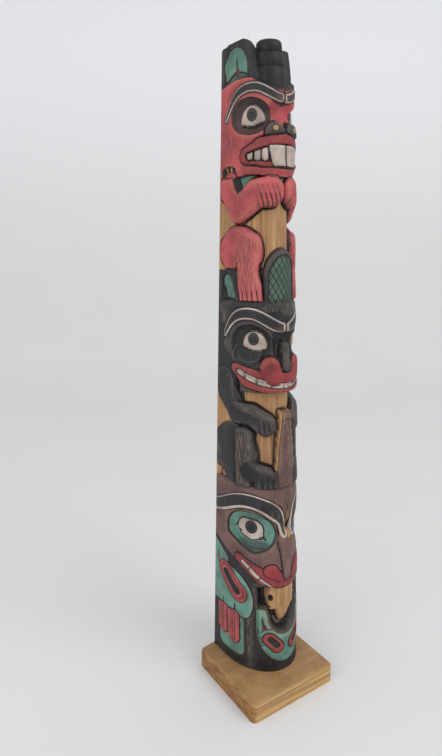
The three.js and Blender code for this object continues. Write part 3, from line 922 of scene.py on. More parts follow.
    def _arms(self, c: Canvas) -> None:
        """Lays the upper arm, then the forearm and hand over it.

        Args:
            c: the skin to carve and paint.
        """
        a, z = c.a, c.z
        arm = limb(a, z, list(self.arm))
        c.carve(arm, 0.8, 15.0)
        c.paint(arm, Coat.BLACK)
        c.line(arm, half=0.7)
        c.line(arm + 1.4, np.maximum(0.0, np.maximum(a - 80.0, 352.0 - z)), 0.35, pale=True)
        c.stroke(arm, list(self.arm))
        forearm = limb(a, z, list(self.forearm))
        c.carve(forearm, 2.0, 8.0)
        c.paint(forearm, Coat.BLACK)
        c.line(forearm, np.maximum(0.0, a - 58.0), 0.7, 0.9)
        c.line(forearm + 1.5, np.maximum(0.0, a - 56.0), 0.32, pale=True)
        pale_streak = limb(a, z, [(56.0, 362.0, 0.1), (40.0, 358.0, 0.1), (28.0, 350.0, 0.1)]) - 0.1
        c.line(pale_streak, 0.0, 0.3, pale=True)
        c.stroke(forearm, list(self.forearm))
        self.hand.cut(c, forearm)
        # Pale streaks beside the finger cuts: painted highlights.
        for first in (16.5, 21.5, 26.5):
            pale_streak = limb(a, z, [(first + 4.5, 350.0, 0.1), (first, 333.0, 0.1)]) - 0.1
            c.line(pale_streak, 0.0, 0.3, pale=True)


@dataclass(frozen=True)
class Bird:
    """The bottom figure: hooked beak over a dark hollow, folded wings and tail feathers."""

    brow: Brow = Brow(
        (6.3, 209.0), (46.0, 250.3), (114.0, 228.0), 9.6, 4.2, 8.2, 3.2, 1.0, 3.8, 2.0, True, True
    )
    patch: tuple[float, float, float, float] = (48.0, 209.5, 32.5, 26.0)
    eye: tuple[Station, ...] = (
        (60.0, 215.5, 2.2), (51.0, 216.0, 11.0), (42.0, 214.0, 12.5), (34.0, 207.5, 4.5)
    )
    iris: tuple[float, float, float] = (43.5, 217.2, 7.6)
    low: float = 141.0
    top: float = 268.5
    lips: tuple[Station, ...] = (
        (60.0, 174.5, 6.3), (44.0, 164.0, 8.2), (28.0, 153.5, 11.0), (8.0, 150.0, 10.8), (0.0, 150.0, 10.8)
    )
    teeth: tuple[Station, ...] = (
        (55.0, 171.5, 2.2), (46.0, 165.0, 2.9), (39.0, 157.7, 2.7),
        (31.0, 150.7, 2.0), (20.0, 142.7, 1.2), (14.0, 140.2, 0.5),
    )
    ledge: float = 111.5
    well: tuple[float, float, float] = (99.0, 22.0, 25.5)
    sunk: float = -15.0

    def head(self, c: Canvas) -> None:
        """Carves and paints the head down to the rim of the beak.

        Args:
            c: the skin to carve and paint.
        """
        a, z = c.a, c.z
        keep = c.h.copy()
        c.open(self.low - 3.0, self.top)
        c.paint(z * 0.0 - 1.0, Coat.PLUM)
        c.h = -1.6 * smooth(262.0, self.top, z)
        c.sink(ellipse(a, z, 0.0, 206.0, 22.0, 24.0), -5.0, 15.0)
        patch = ellipse(a, z, *self.patch)
        patch = np.maximum(patch, 183.5 + 0.46 * np.maximum(0.0, a - 40.0) - z)
        c.carve(patch - 1.5, -4.8, 9.0)
        c.paint(patch, Coat.TEAL)
        c.line(patch, half=0.75)
        ball = np.maximum(ellipse(a, z, 43.0, 203.0, 22.0, 19.0), patch + 1.0)
        c.swell(ball, 2.0, 8.0)
        # Painted shade on the lower part of the swelling eyeball.
        c.paint_shade(np.maximum(ellipse(a, z, 42.0, 193.5, 22.0, 12.0), z - 204.0), 0.85, 5.0)
        c.line(limb(a, z, [(60.0, 199.0, 0.1), (44.0, 189.0, 0.1), (30.0, 190.0, 0.1)]) - 0.2, 0.0, 0.35)
        self._eye(c)
        top = np.interp(
            a,
            (0.0, 40.0, 55.0, 65.0, 75.0, 85.0, 95.0, 107.0, 125.0),
            (150.0, 161.0, 166.5, 170.0, 174.0, 178.0, 183.0, 190.5, 201.0),
        )
        c.paint(z - top, Coat.BLACK)
        c.line(z - top, np.maximum(0.0, 60.0 - a), 0.7)
        self.brow.draw(c, 0.9, 3.5)
        c.line(limb(a, z, self.brow.path()) - 0.5, np.maximum(0.0, np.maximum(a - 62.0, z - 246.0)), 1.0)
        c.paint(np.maximum(a - 2.4, slab(z, 203.5, 238.0)), Coat.WOOD)
        c.line(a - 0.2, np.maximum(0.0, slab(z, 203.0, 245.0)), 0.6)
        c.scuff_and_highlight(np.maximum(slab(a, 2.0, 26.0), slab(z, 225.0, 268.0)), 0.35, 8.0)
        self._mouth(c)
        c.h = np.where(slab(z, self.low, self.top) < 0, c.h, keep)

    def _eye(self, c: Canvas) -> None:
        """Raises the slanting eye and paints its white, iris and dark corners.

        Args:
            c: the skin to carve and paint.
        """
        a, z = c.a, c.z
        white = limb(a, z, list(self.eye))
        c.carve(white - 2.0, -2.2, 8.0)
        c.clean(white - 2.0)
        c.paint(white - 0.8, Coat.BLACK)
        c.paint(white, Coat.WHITE)
        c.line(white - 0.6, half=0.7)
        iris = ellipse(a, z, self.iris[0], self.iris[1], self.iris[2], self.iris[2] + 0.4)
        c.paint(np.maximum(iris, white + 0.4), Coat.BLACK)
        c.line(iris + 2.0, 0.0, 0.14, pale=True)
        for stations in (
            [(68.5, 212.5, 0.4), (64.0, 215.5, 1.7), (61.0, 221.5, 0.5)],
            [(62.0, 212.0, 0.5), (57.0, 210.0, 1.2)],
            [(33.5, 205.0, 0.9), (29.0, 206.0, 0.9), (27.0, 202.0, 1.0)],
        ):
            c.paint(limb(a, z, stations), Coat.BLACK)

    def _mouth(self, c: Canvas) -> None:
        """Adds the red rim of the beak, the pale tooth strip, the nostrils and the ridge.

        Args:
            c: the skin to carve and paint.
        """
        a, z = c.a, c.z
        lips = limb(a, z, list(self.lips))
        c.carve(lips, 1.2, 4.5)
        c.paint(lips, Coat.DARK_RED)
        c.line(lips, half=0.8, depth=0.9)
        teeth = limb(a, z, list(self.teeth))
        c.carve(teeth, 0.6, 1.5)
        c.paint(teeth, Coat.WHITE)
        c.line(teeth, half=0.4)
        for mid, rise in ((45.0, 164.5), (33.0, 152.5)):
            c.line((a - mid) * 0.75 + (z - rise) * 0.65, np.maximum(0.0, teeth + 0.3), 0.5)
        nostril = limb(a, z, [(20.5, 163.0, 9.0), (9.0, 152.5, 4.8)])
        c.carve(nostril, 2.2, 6.0)
        c.paint(nostril, Coat.DARK_RED)
        c.line(nostril, np.maximum(0.0, 150.0 - z), 0.6)
        ridge = limb(a, z, [(0.0, 202.0, 13.5), (0.0, 180.0, 9.5), (0.0, 165.0, 7.2), (0.0, 155.0, 6.2)])
        c.carve(ridge, 2.6, 7.0)
        c.paint(np.maximum(ridge, z - 198.0), Coat.PLUM)
        c.line(ridge, np.maximum(0.0, z - 190.0), 0.8)
        # Painted shade along the foot of the ridge.
        c.paint_shade(np.maximum(np.abs(ridge + 1.5) - 1.0, slab(z, 148.0, 196.0)), 0.55, 1.5)
        # A pale band down the top of the ridge: a painted highlight, laid as worn paint.
        c.scuff_and_highlight(limb(c.s, z, [(1.0, 185.0, 2.4), (1.5, 158.0, 2.2)]), 0.4, 2.5)

    def body(self, c: Canvas) -> None:
        """Carves and paints the hollow under the beak, the wings and the feathers.

        Args:
            c: the skin to carve and paint.
        """
        a, z = c.a, c.z
        keep = c.h.copy()
        c.open(-9.0, self.low)
        c.h = np.full(a.shape, -0.6)
        c.paint(z - self.low, Coat.BLACK)
        c.scuff_and_highlight(np.maximum(slab(a, 41.0, 52.0), slab(z, 28.0, 106.0)), 0.8, 3.0)
        self._hollow(c)
        self._apron(c)
        c.h = np.where(z < self.low, c.h, keep)
        self._wing(c)

    def _well(self, c: Canvas) -> Array:
        """Returns the distance to the round foot of the hollow.

        Args:
            c: the skin to carve and paint.

        Returns:
            The signed distance in millimetres.
        """
        centre, half, wide = self.well
        side = c.a - mix(half, wide, np.clip((c.z - centre) / 13.0, 0.0, 1.0))
        return np.where(c.z < centre, np.hypot(c.a, c.z - centre) - half, side)

    def _hollow(self, c: Canvas) -> None:
        """Cuts the dark hollow with the hooked beak standing in it.

        Args:
            c: the skin to carve and paint.
        """
        a, z = c.a, c.z
        niche = np.where(z > self.ledge, a - 38.5, np.maximum(self._well(c), z - self.ledge))
        c.h = mix(c.h, self.sunk, smooth(0.0, 3.2, -niche))
        c.paint(np.maximum(self._well(c) + 3.4, slab(z, 60.0, 93.0)), Coat.GREY)
        # Painted shade over the upper grey at the back of the hollow.
        c.paint_shade(np.maximum(self._well(c) + 3.0, slab(z, 80.0, 95.0)), 0.6, 5.0)
        c.paint(np.maximum(slab(a, 25.0, 38.5), slab(z, self.ledge - 1.0, self.ledge + 2.6)), Coat.GREY)
        half = np.interp(
            z,
            (85.0, 89.0, 97.0, 105.0, 110.0, 113.0, 125.0, 141.0),
            (0.0, 6.0, 10.5, 14.5, 20.0, 27.0, 29.5, 30.5),
        )
        ridge = np.interp(z, (85.0, 92.0, 100.0, 110.0, 120.0, 141.0), (-12.0, -7.5, -4.0, -1.6, -0.8, -0.8))
        beak = np.maximum(a - half, 85.0 - z)
        t = np.clip(-beak / np.maximum(6.0, half * 0.75), 0.0, 1.0)
        raised = mix(self.sunk, ridge, np.sqrt(1.0 - (1.0 - t) ** 2))
        c.h = np.where(np.maximum(beak, z - self.low) < 0, np.maximum(c.h, raised), c.h)
        c.paint(beak, Coat.WOOD)
        # Painted shade on the side of the beak.
        c.paint_shade(np.maximum(np.maximum(slab(a, 22.5, 34.0), slab(z, 109.0, 143.0)), beak), 0.6, 2.5)
        hole = ellipse(a, z, 20.5, 125.0, 2.9, 4.2)
        c.carve(hole, -9.0, 1.5)
        c.paint(hole, Coat.BLACK)

    def _apron(self, c: Canvas) -> None:
        """Paints the U of tail feathers round the front foot.

        Args:
            c: the skin to carve and paint.
        """
        a, z = c.a, c.z
        outer = np.where(z < 85.0, ellipse(a, z, 0.0, 85.0, 39.0, 48.5), a - 39.0)
        area = np.maximum(np.maximum(outer, z - self.ledge), 1.4 - self._well(c))
        c.carve(area, 0.3, 1.5)
        c.paint(area, Coat.WOOD)
        c.paint(np.maximum(outer + 1.5, area + 0.5), Coat.TEAL)
        c.line(outer + 0.2, np.maximum(0.0, z - self.ledge), 0.6)
        c.line(outer + 3.4, np.maximum(0.0, slab(z, 62.0, self.ledge - 2.0)), 0.4)
        slit = limb(a, z, [(31.0, 101.0, 0.3), (30.0, 93.0, 0.9), (28.0, 86.0, 2.4)])
        c.carve(slit, -1.2, 1.0)
        c.paint(slit, Coat.DARK_RED)
        # Painted shade in the slit.
        c.paint_shade(slit, 0.8, 1.0)
        roof = limb(a, z, [(34.0, 79.0, 0.2), (28.0, 84.5, 1.0), (20.0, 84.8, 0.6), (15.0, 82.5, 0.1)])
        c.paint(roof, Coat.DARK_RED)
        ring = limb(a, z, [(22.3, 71.0, 8.6), (11.8, 59.5, 8.6)])
        c.carve(ring, 0.8, 2.0)
        c.paint(ring, Coat.DARK_RED)
        c.line(ring, half=0.7)
        c.line(ring + 2.6, pale=True, half=0.4)
        slot = limb(a, z, [(20.8, 70.5, 3.9), (13.0, 62.0, 3.9)])
        c.carve(slot, -0.8, 1.5)
        c.paint(slot, Coat.BLACK)
        c.line(slot - 0.6, pale=True, half=0.3)

    def _wing(self, c: Canvas) -> None:
        """Carves and paints the folded wing on each side.

        Args:
            c: the skin to carve and paint.
        """
        a, z = c.a, c.z
        brim = np.interp(
            a,
            (41.0, 46.0, 52.0, 62.0, 75.0, 85.0, 95.0, 107.0, 125.0),
            (133.0, 140.0, 148.0, 157.5, 165.0, 171.0, 177.0, 184.5, 195.0),
        )
        c.open(-9.0, 210.0)
        wing = np.minimum(ellipse(a, z, 80.0, 118.0, 39.0, 40.0), 78.0 - a)
        wing = np.maximum(wing, (z - brim) * 0.85)
        scallops = 98.3 + 0.01 * (np.mod(a - 68.0, 22.0) - 11.0) ** 2
        feet = np.where(a > 64.5, scallops, 93.5 + 0.055 * (a - 55.0) ** 2)
        wing = np.maximum(wing, feet - z)
        c.carve(wing, 0.5, 1.8)
        c.paint(wing, Coat.TEAL)
        c.line(wing, half=0.75)
        c.line(wing + 1.3, np.maximum(0.0, 130.0 - z), 0.35, pale=True)
        for mid in (68.0, 90.0):
            slit = limb(a, z, [(mid, 95.0, 1.7), (mid, 110.0, 0.3)])
            c.carve(slit, -1.5, 1.0)
            c.paint(slit, Coat.DARK_RED)
            # Painted shade in the slit.
            c.paint_shade(slit, 0.8, 1.0)
        mark = limb(a, z, [(98.0, 170.0, 0.3), (99.0, 160.0, 2.1), (97.5, 149.0, 0.3)])
        c.paint(mark, Coat.DARK_RED)
        ring = limb(a, z, [(84.0, 147.0, 13.2), (62.0, 126.5, 13.2)])
        c.carve(ring, 1.1, 2.5)
        c.paint(ring, Coat.RED)
        c.line(ring, half=0.55)
        c.line(ring + 5.2, half=0.55)
        slot = limb(a, z, [(82.5, 145.5, 5.2), (64.0, 128.0, 5.2)])
        c.carve(slot, -1.0, 1.5)
        c.paint(slot, Coat.BLACK)
        c.line(slot - 0.5, pale=True, half=0.35)
        self._panel(c, feet)

    def _panel(self, c: Canvas, feet: Array) -> None:
        """Paints the panel under the wing and raises its two long plumes.

        Args:
            c: the skin to carve and paint.
            feet: height of the wing's lower edge.
        """
        a, z = c.a, c.z
        corner = np.hypot(np.maximum(0.0, np.abs(a - 77.7) - 13.7), np.maximum(0.0, 48.0 - z)) - 10.0
        panel = np.maximum(np.maximum(slab(a, 54.0, 101.5), slab(z, 38.0, feet)), corner)
        c.paint(panel, Coat.WOOD)
        c.paint(panel + 1.3, Coat.TEAL)
        c.line(panel, np.maximum(0.0, z - 94.0), 0.6)
        for lo, hi, foot in ((61.0, 82.0, 52.5), (82.0, 102.0, 56.0)):
            half = (hi - lo) / 2.0
            mid = (lo + hi) / 2.0
            plume = np.maximum(limb(a, z, [(mid, foot + half, half), (mid, 120.0, half)]), z - feet)
            c.carve(plume, 0.9, 3.5)
            c.paint(plume, Coat.RED)
            c.scuff_and_highlight(plume, 0.25, 3.0)
            c.line(plume, half=0.6)
            for off in (-3.4, 0.4, 4.0):
                c.line(a - mid - off, np.maximum(0.0, plume + 3.5), 0.32, 0.3)


# ---------------------------------------------------------------- finishes


@dataclass(frozen=True)
class Paint:
    """One paint: its colour in sRGB, its worn colour, how streaky it is, and its sheen."""

    colour: tuple[int, int, int]
    worn: tuple[int, int, int]
    streak: float = 0.35
    roughness: float = 0.55

    def linear(self, worn: bool = False) -> tuple[float, float, float, float]:
        """Returns the colour, or the worn colour, as linear RGBA.

        Args:
            worn: whether to give the worn colour.

        Returns:
            The colour as linear RGBA.
        """
        def channel(v: int) -> float:
            """Returns one channel in linear light."""
            s = v / 255.0
            return s / 12.92 if s <= 0.04045 else ((s + 0.055) / 1.055) ** 2.4
        r, g, b = (channel(v) for v in (self.worn if worn else self.colour))
        return r, g, b, 1.0


PAINTS: dict[Coat, Paint] = {
    Coat.WOOD: Paint((170, 120, 76), (196, 152, 104), 0.5, 0.6),
    Coat.RED: Paint((166, 70, 72), (192, 118, 104), 0.5, 0.55),
    Coat.DARK_RED: Paint((132, 44, 47), (160, 88, 76), 0.4, 0.5),
    Coat.BLACK: Paint((34, 33, 35), (106, 94, 84), 0.3, 0.5),
    Coat.TEAL: Paint((92, 132, 116), (150, 160, 134), 0.4, 0.55),
    Coat.GREEN: Paint((64, 90, 76), (140, 138, 100), 0.4, 0.55),
    Coat.PLUM: Paint((102, 76, 72), (146, 112, 88), 0.4, 0.55),
    Coat.SHADE: Paint((86, 62, 64), (116, 84, 80), 0.35, 0.6),
    Coat.WHITE: Paint((180, 164, 154), (166, 138, 108), 0.2, 0.5),
    Coat.GREY: Paint((128, 120, 112), (160, 150, 136), 0.3, 0.6),
}
# Near-black for painted shade in the cuts, along the edges between paints and in the hollows.
SHADE_BLACK = (0.012, 0.010, 0.010, 1.0)


class Nodes:
    """A small helper that adds and joins shader nodes."""

    def __init__(self, material: bpy.types.Material) -> None:
        """Clears a material's node tree and keeps it.

        Args:
            material: the material.
        """
        material.use_nodes = True
        self.tree = material.node_tree
        self.tree.nodes.clear()

    def add(self, kind: str, **settings: object) -> bpy.types.Node:
        """Adds a node of a kind with its settings and returns it.

        Args:
            kind: the kind of node.
            settings: its settings.

        Returns:
            The new node.
        """
        node = self.tree.nodes.new(kind)
        for key, value in settings.items():
            setattr(node, key, value)
        return node

    def feed(self, value: object, target: bpy.types.NodeSocket) -> None:
        """Joins an output to an input, or sets the input to a constant.

        Args:
            value: an output or a constant.
            target: the input.
        """
        if isinstance(value, bpy.types.NodeSocket):
            self.tree.links.new(value, target)
        else:
            target.default_value = value

    def attribute(self, name: str) -> bpy.types.NodeSocket:
        """Returns a stored float attribute of the mesh."""
        node = self.add("ShaderNodeAttribute", attribute_name=name)
        return node.outputs["Fac"]

    def math(self, operation: str, *values: object) -> bpy.types.NodeSocket:
        """Returns the result of a math node.

        Args:
            operation: the node's operation.
            values: its inputs.

        Returns:
            The node's output.
        """
        node = self.add("ShaderNodeMath", operation=operation)
        for i, value in enumerate(values):
            self.feed(value, node.inputs[i])
        return node.outputs[0]

    def ramp(
        self, value: object, lo: float, hi: float, out_lo: float = 0.0, out_hi: float = 1.0
    ) -> bpy.types.NodeSocket:
        """Returns a value mapped smoothly from one range to another.

        Args:
            value: the value or output.
            lo: value at the start.
            hi: value at the end.
            out_lo: result at the start.
            out_hi: result at the end.

        Returns:
            The node's output.
        """
        node = self.add("ShaderNodeMapRange", interpolation_type="SMOOTHSTEP")
        for i, v in enumerate((value, lo, hi, out_lo, out_hi)):
            self.feed(v, node.inputs[i])
        return node.outputs[0]

    def blend(self, share: object, first: object, second: object) -> bpy.types.NodeSocket:
        """Returns two colours mixed.

        Args:
            share: how much of the second.
            first: the first colour.
            second: the second colour.

        Returns:
            The node's output.
        """
        node = self.add("ShaderNodeMix", data_type="RGBA")
        self.feed(share, node.inputs[0])
        self.feed(first, node.inputs[6])
        self.feed(second, node.inputs[7])
        return node.outputs[2]

    def noise(
        self, place: object, scale: float, detail: float = 4.0, roughness: float = 0.6
    ) -> bpy.types.NodeSocket:
        """Returns a noise value.

        Args:
            place: where it is read.
            scale: how fine it is.
            detail: layers of noise.
            roughness: how strong the finer layers are.

        Returns:
            The node's output.
        """
        node = self.add("ShaderNodeTexNoise")
        self.feed(place, node.inputs["Vector"])
        node.inputs["Scale"].default_value = scale
        node.inputs["Detail"].default_value = detail
        node.inputs["Roughness"].default_value = roughness
        return node.outputs["Fac"]

    def stretch(self, place: object, scale: tuple[float, float, float]) -> bpy.types.NodeSocket:
        """Returns a place scaled along each axis.

        Args:
            place: where it is read.
            scale: factor along each axis.

        Returns:
            The node's output.
        """
        node = self.add("ShaderNodeMapping")
        self.feed(place, node.inputs["Vector"])
        node.inputs["Scale"].default_value = scale
        return node.outputs["Vector"]

    def finish(
        self, colour: object, roughness: object, height: object, strength: float, distance: float
    ) -> None:
        """Adds the shader, bump and output.

        Args:
            colour: the surface colour.
            roughness: how dull the surface is.
            height: height of the bump.
            strength: strength of the bump.
            distance: depth of the bump.
        """
        shader = self.add("ShaderNodeBsdfPrincipled")
        self.feed(colour, shader.inputs["Base Color"])
        self.feed(roughness, shader.inputs["Roughness"])
        shader.inputs["Specular IOR Level"].default_value = 0.35
        bump = self.add("ShaderNodeBump")
        self.feed(strength, bump.inputs["Strength"])
        self.feed(distance, bump.inputs["Distance"])
        self.feed(height, bump.inputs["Height"])
        self.feed(bump.outputs[0], shader.inputs["Normal"])
        out = self.add("ShaderNodeOutputMaterial")
        self.feed(shader.outputs[0], out.inputs[0])


@dataclass(frozen=True)
class PaintedLog:
    """The painted and worn surface of the log, with painted shade in its cuts and hollows and a few painted
    highlights.
    """

    name: str = "painted_log"

    def build(self) -> bpy.types.Material:
        """Returns the material."""
        material = bpy.data.materials.new(self.name)
        n = Nodes(material)
        place = n.add("ShaderNodeTexCoord").outputs["Object"]
        joined = n.add("ShaderNodeCombineXYZ")
        n.feed(n.attribute("across"), joined.inputs[0])
        n.feed(n.attribute("along"), joined.inputs[1])
        flow = joined.outputs[0]
        grain = n.noise(n.stretch(place, (260.0, 260.0, 9.0)), 1.0, 5.0, 0.65)
        fibre = n.noise(n.stretch(place, (900.0, 900.0, 30.0)), 1.0, 3.0, 0.6)
        brush = n.noise(n.stretch(flow, (0.62, 0.07, 1.0)), 1.0, 4.0, 0.7)
        scratch = n.noise(n.stretch(flow, (1.5, 0.11, 1.0)), 1.0, 3.0, 0.7)
        cloud = n.noise(place, 30.0, 5.0, 0.6)
        fleck = n.noise(place, 330.0, 3.0, 0.6)
        wobble = n.math("MULTIPLY", n.math("SUBTRACT", n.noise(place, 200.0, 3.0, 0.5), 0.5), 0.8)
        wood = self._wood(n, grain, fibre)
        worn: object = PAINTS[Coat.WOOD].linear(worn=True)
        colour: object = wood
        rough: object = PAINTS[Coat.WOOD].roughness
        margin = None
        for coat, paint in PAINTS.items():
            grown = n.attribute(coat.value)
            margin = grown if margin is None else n.math("MAXIMUM", margin, grown)
            if coat is Coat.WOOD:
                continue
            share = n.ramp(n.math("ADD", grown, wobble), -0.15, 0.15)
            colour = n.blend(share, colour, self._coat(n, paint, brush, cloud, wood, fleck))
            worn = n.blend(share, worn, paint.linear(worn=True))
            keep = n.math("MULTIPLY", rough, n.math("SUBTRACT", 1.0, share))
            rough = n.math("ADD", keep, n.math("MULTIPLY", share, paint.roughness))
        colour = self._wear_and_highlights(n, colour, worn, brush, scratch, wood)
        colour = self._lay_shade(n, colour, margin, cloud)
        rough = n.math("ADD", rough, n.ramp(cloud, 0.3, 0.7, -0.07, 0.1))
        height: object = n.math("MULTIPLY", n.ramp(margin, 0.0, 0.8), 0.5)
        for mark, share in ((grain, 0.3), (brush, 0.5), (scratch, 0.35)):
            height = n.math("ADD", height, n.math("MULTIPLY", mark, share))
        for name in ("cut", "fine"):
            height = n.math("ADD", height, n.ramp(self._near(n, name), 0.1, 0.9))
        n.finish(colour, rough, height, 0.7, 0.0006)
        return material

    def _near(self, n: Nodes, name: str) -> bpy.types.NodeSocket:
        """Returns how far a place is from the nearest line of a kind."""
        reach = n.math("SUBTRACT", n.attribute(name + "_near"), 1.5)
        return n.math("MAXIMUM", n.math("ABSOLUTE", n.attribute(name)), reach)

    def _wood(self, n: Nodes, grain: object, fibre: object) -> bpy.types.NodeSocket:
        """Returns the colour of the bare wood."""
        tone = n.blend(n.ramp(grain, 0.32, 0.68), (0.27, 0.135, 0.055, 1.0), (0.49, 0.28, 0.125, 1.0))
        return n.blend(n.ramp(fibre, 0.45, 0.75, 0.0, 0.4), tone, (0.17, 0.09, 0.045, 1.0))

    def _coat(
        self, n: Nodes, paint: Paint, brush: object, cloud: object, wood: object, fleck: object
    ) -> bpy.types.NodeSocket:
        """Returns one paint with brush marks and thin places.

        Args:
            n: the material's nodes.
            paint: the paint.
            brush: noise of the brush marks.
            cloud: slow noise over the whole pole.
            wood: colour of the bare wood.
            fleck: noise of the tiny chips.

        Returns:
            The colour.
        """
        base = paint.linear()
        dark = tuple(v * 0.66 for v in base[:3]) + (1.0,)
        light = tuple(min(1.0, v * 1.22 + 0.006) for v in base[:3]) + (1.0,)
        tone = n.blend(n.ramp(cloud, 0.35, 0.65), dark, light)
        tone = n.blend(n.ramp(brush, 0.30, 0.46, paint.streak, 0.0), tone, dark)
        tone = n.blend(n.ramp(brush, 0.56, 0.70, 0.0, paint.streak), tone, paint.linear(worn=True))
        return n.blend(n.ramp(fleck, 0.68, 0.74, 0.0, 0.4), tone, wood)

    def _wear_and_highlights(
        self, n: Nodes, colour: object, worn: object, brush: object, scratch: object, wood: object
    ) -> bpy.types.NodeSocket:
        """Thins the paint on high edges and in worn places, and lays the pale lines; a few of these worn
        places and pale lines are painted highlights.

        Args:
            n: the material's nodes.
            colour: the colour so far.
            worn: the colour where the paint is thin.
            brush: noise of the brush marks.
            scratch: noise of the fine scratches.
            wood: colour of the bare wood.

        Returns:
            The colour.
        """
        ridge = n.math("MULTIPLY", n.attribute("ridge"), n.ramp(scratch, 0.38, 0.60, 0.1, 0.6))
        colour = n.blend(ridge, colour, worn)
        rubbed = n.math("MULTIPLY", n.attribute("wear_and_highlight"), n.ramp(brush, 0.44, 0.60))
        colour = n.blend(rubbed, colour, worn)
        deep = n.math("MULTIPLY", n.attribute("wear_and_highlight"), n.ramp(scratch, 0.58, 0.68, 0.0, 0.5))
        colour = n.blend(deep, colour, wood)
        # Pale lines: mostly bare edges, in a few places painted highlights.
        bare = n.ramp(self._near(n, "pale"), 0.2, 0.7, 0.7, 0.0)
        return n.blend(bare, colour, worn)

    def _lay_shade(self, n: Nodes, colour: object, margin: object, cloud: object) -> bpy.types.NodeSocket:
        """Paints shade: darkens the cuts, the edges between paints, the hollows and the places the figures
        mark with painted shade.

        Args:
            n: the material's nodes.
            colour: the colour so far.
            margin: distance to the nearest edge of a paint.
            cloud: slow noise over the whole pole.

        Returns:
            The colour.
        """
        # Painted shade along every edge between two paints, as in a carved groove.
        cut = n.ramp(n.math("ABSOLUTE", margin), 0.1, 0.6, 0.7, 0.0)
        colour = n.blend(cut, colour, SHADE_BLACK)
        # Painted shade in the cut lines.
        for name in ("cut", "fine"):
            colour = n.blend(n.ramp(self._near(n, name), 0.3, 0.75, 0.9, 0.0), colour, SHADE_BLACK)
        # Painted shade in the hollows of the carving.
        colour = n.blend(n.ramp(n.attribute("hollow_shade"), 0.12, 0.9, 0.0, 0.85), colour, SHADE_BLACK)
        # Painted shade where the figures lay it.
        shade_share = n.math("MULTIPLY", n.attribute("painted_shade"), n.ramp(cloud, 0.3, 0.62, 0.45, 0.9))
        return n.blend(shade_share, colour, (0.045, 0.040, 0.040, 1.0))


@dataclass(frozen=True)
class BlockWood:
    """Plain wood rubbed with brown oil: pale front, darker top, streaky orange-brown end."""

    name: str = "block_wood"
    stretch: tuple[float, float, float] = (7.0, 170.0, 210.0)
    light: tuple[float, float, float, float] = (0.60, 0.37, 0.13, 1.0)
    dark: tuple[float, float, float, float] = (0.33, 0.19, 0.078, 1.0)
    pore: tuple[float, float, float, float] = (0.15, 0.075, 0.03, 1.0)

    def build(self) -> bpy.types.Material:
        """Returns the material."""
        _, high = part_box("base_block")
        material = bpy.data.materials.new(self.name)
        n = Nodes(material)
        place = n.add("ShaderNodeTexCoord").outputs["Object"]
        axes = n.add("ShaderNodeSeparateXYZ")
        n.feed(place, axes.inputs[0])
        bands = n.noise(n.stretch(place, self.stretch), 1.0, 3.0, 0.5)
        fine = n.noise(n.stretch(place, tuple(v * 5.0 for v in self.stretch)), 1.0, 4.0, 0.65)
        pores = n.noise(n.stretch(place, tuple(v * 12.0 for v in self.stretch)), 1.0, 2.0, 0.5)
        cloud = n.noise(place, 32.0, 4.0, 0.6)
        tone = n.blend(n.ramp(bands, 0.36, 0.64), self.dark, self.light)
        tone = n.blend(n.ramp(fine, 0.5, 0.72, 0.0, 0.55), tone, self.dark)
        tone = n.blend(n.ramp(pores, 0.6, 0.72, 0.0, 0.6), tone, self.pore)
        edge = n.math("ADD", axes.outputs[2], n.math("MULTIPLY", n.math("SUBTRACT", cloud, 0.5), 0.004))
        on_top = n.ramp(edge, high.z - 0.0045, high.z - 0.0005)
        oiled = n.blend(n.ramp(cloud, 0.35, 0.65), (0.23, 0.13, 0.052, 1.0), (0.345, 0.195, 0.084, 1.0))
        oiled = n.blend(n.ramp(fine, 0.48, 0.72, 0.0, 0.45), oiled, (0.20, 0.115, 0.05, 1.0))
        tone = n.blend(n.math("MULTIPLY", on_top, 0.85), tone, oiled)
        end_grain = n.noise(n.stretch(place, (60.0, 60.0, 420.0)), 1.0, 4.0, 0.7)
        end = n.blend(n.ramp(end_grain, 0.38, 0.62), (0.12, 0.045, 0.010, 1.0), (0.36, 0.165, 0.042, 1.0))
        reach = n.ramp(n.math("ABSOLUTE", axes.outputs[0]), high.x - 0.006, high.x - 0.001)
        below = n.math("SUBTRACT", 1.0, n.math("MULTIPLY", on_top, 0.6))
        tone = n.blend(n.math("MULTIPLY", n.math("MULTIPLY", reach, 0.85), below), tone, end)
        height = n.math("ADD", n.math("MULTIPLY", fine, 0.5), n.math("MULTIPLY", pores, -0.3))
        n.finish(tone, n.ramp(fine, 0.3, 0.7, 0.48, 0.66), height, 0.35, 0.0004)
        return material


@dataclass(frozen=True)
class SootBlack:
    """Thin black paint over end grain and the hat, with the wood's lines showing."""

    name: str = "soot_black"
    depth: float = 0.4

    def build(self) -> bpy.types.Material:
        """Returns the material."""
        material = bpy.data.materials.new(self.name)
        n = Nodes(material)
        place = n.add("ShaderNodeTexCoord").outputs["Object"]
        grain = n.noise(n.stretch(place, (420.0, 420.0, 14.0)), 1.0, 4.0, 0.65)
        cloud = n.noise(place, 40.0, 3.0, 0.5)
        base = tuple(v * self.depth for v in PAINTS[Coat.BLACK].linear()[:3]) + (1.0,)
        light = tuple(v * 3.0 + 0.002 for v in base[:3]) + (1.0,)
        tone = n.blend(n.ramp(grain, 0.50, 0.74, 0.0, 0.7), base, light)
        tone = n.blend(n.ramp(cloud, 0.3, 0.7, 0.0, 0.4), tone, base)
        n.finish(tone, 0.55, grain, 0.5, 0.0005)
        return material


# ---------------------------------------------------------------- modelling helpers


def deselect() -> None:
    """Leaves nothing selected."""
    if bpy.context.object and bpy.context.object.mode != "OBJECT":
        bpy.ops.object.mode_set(mode="OBJECT")
    bpy.ops.object.select_all(action="DESELECT")


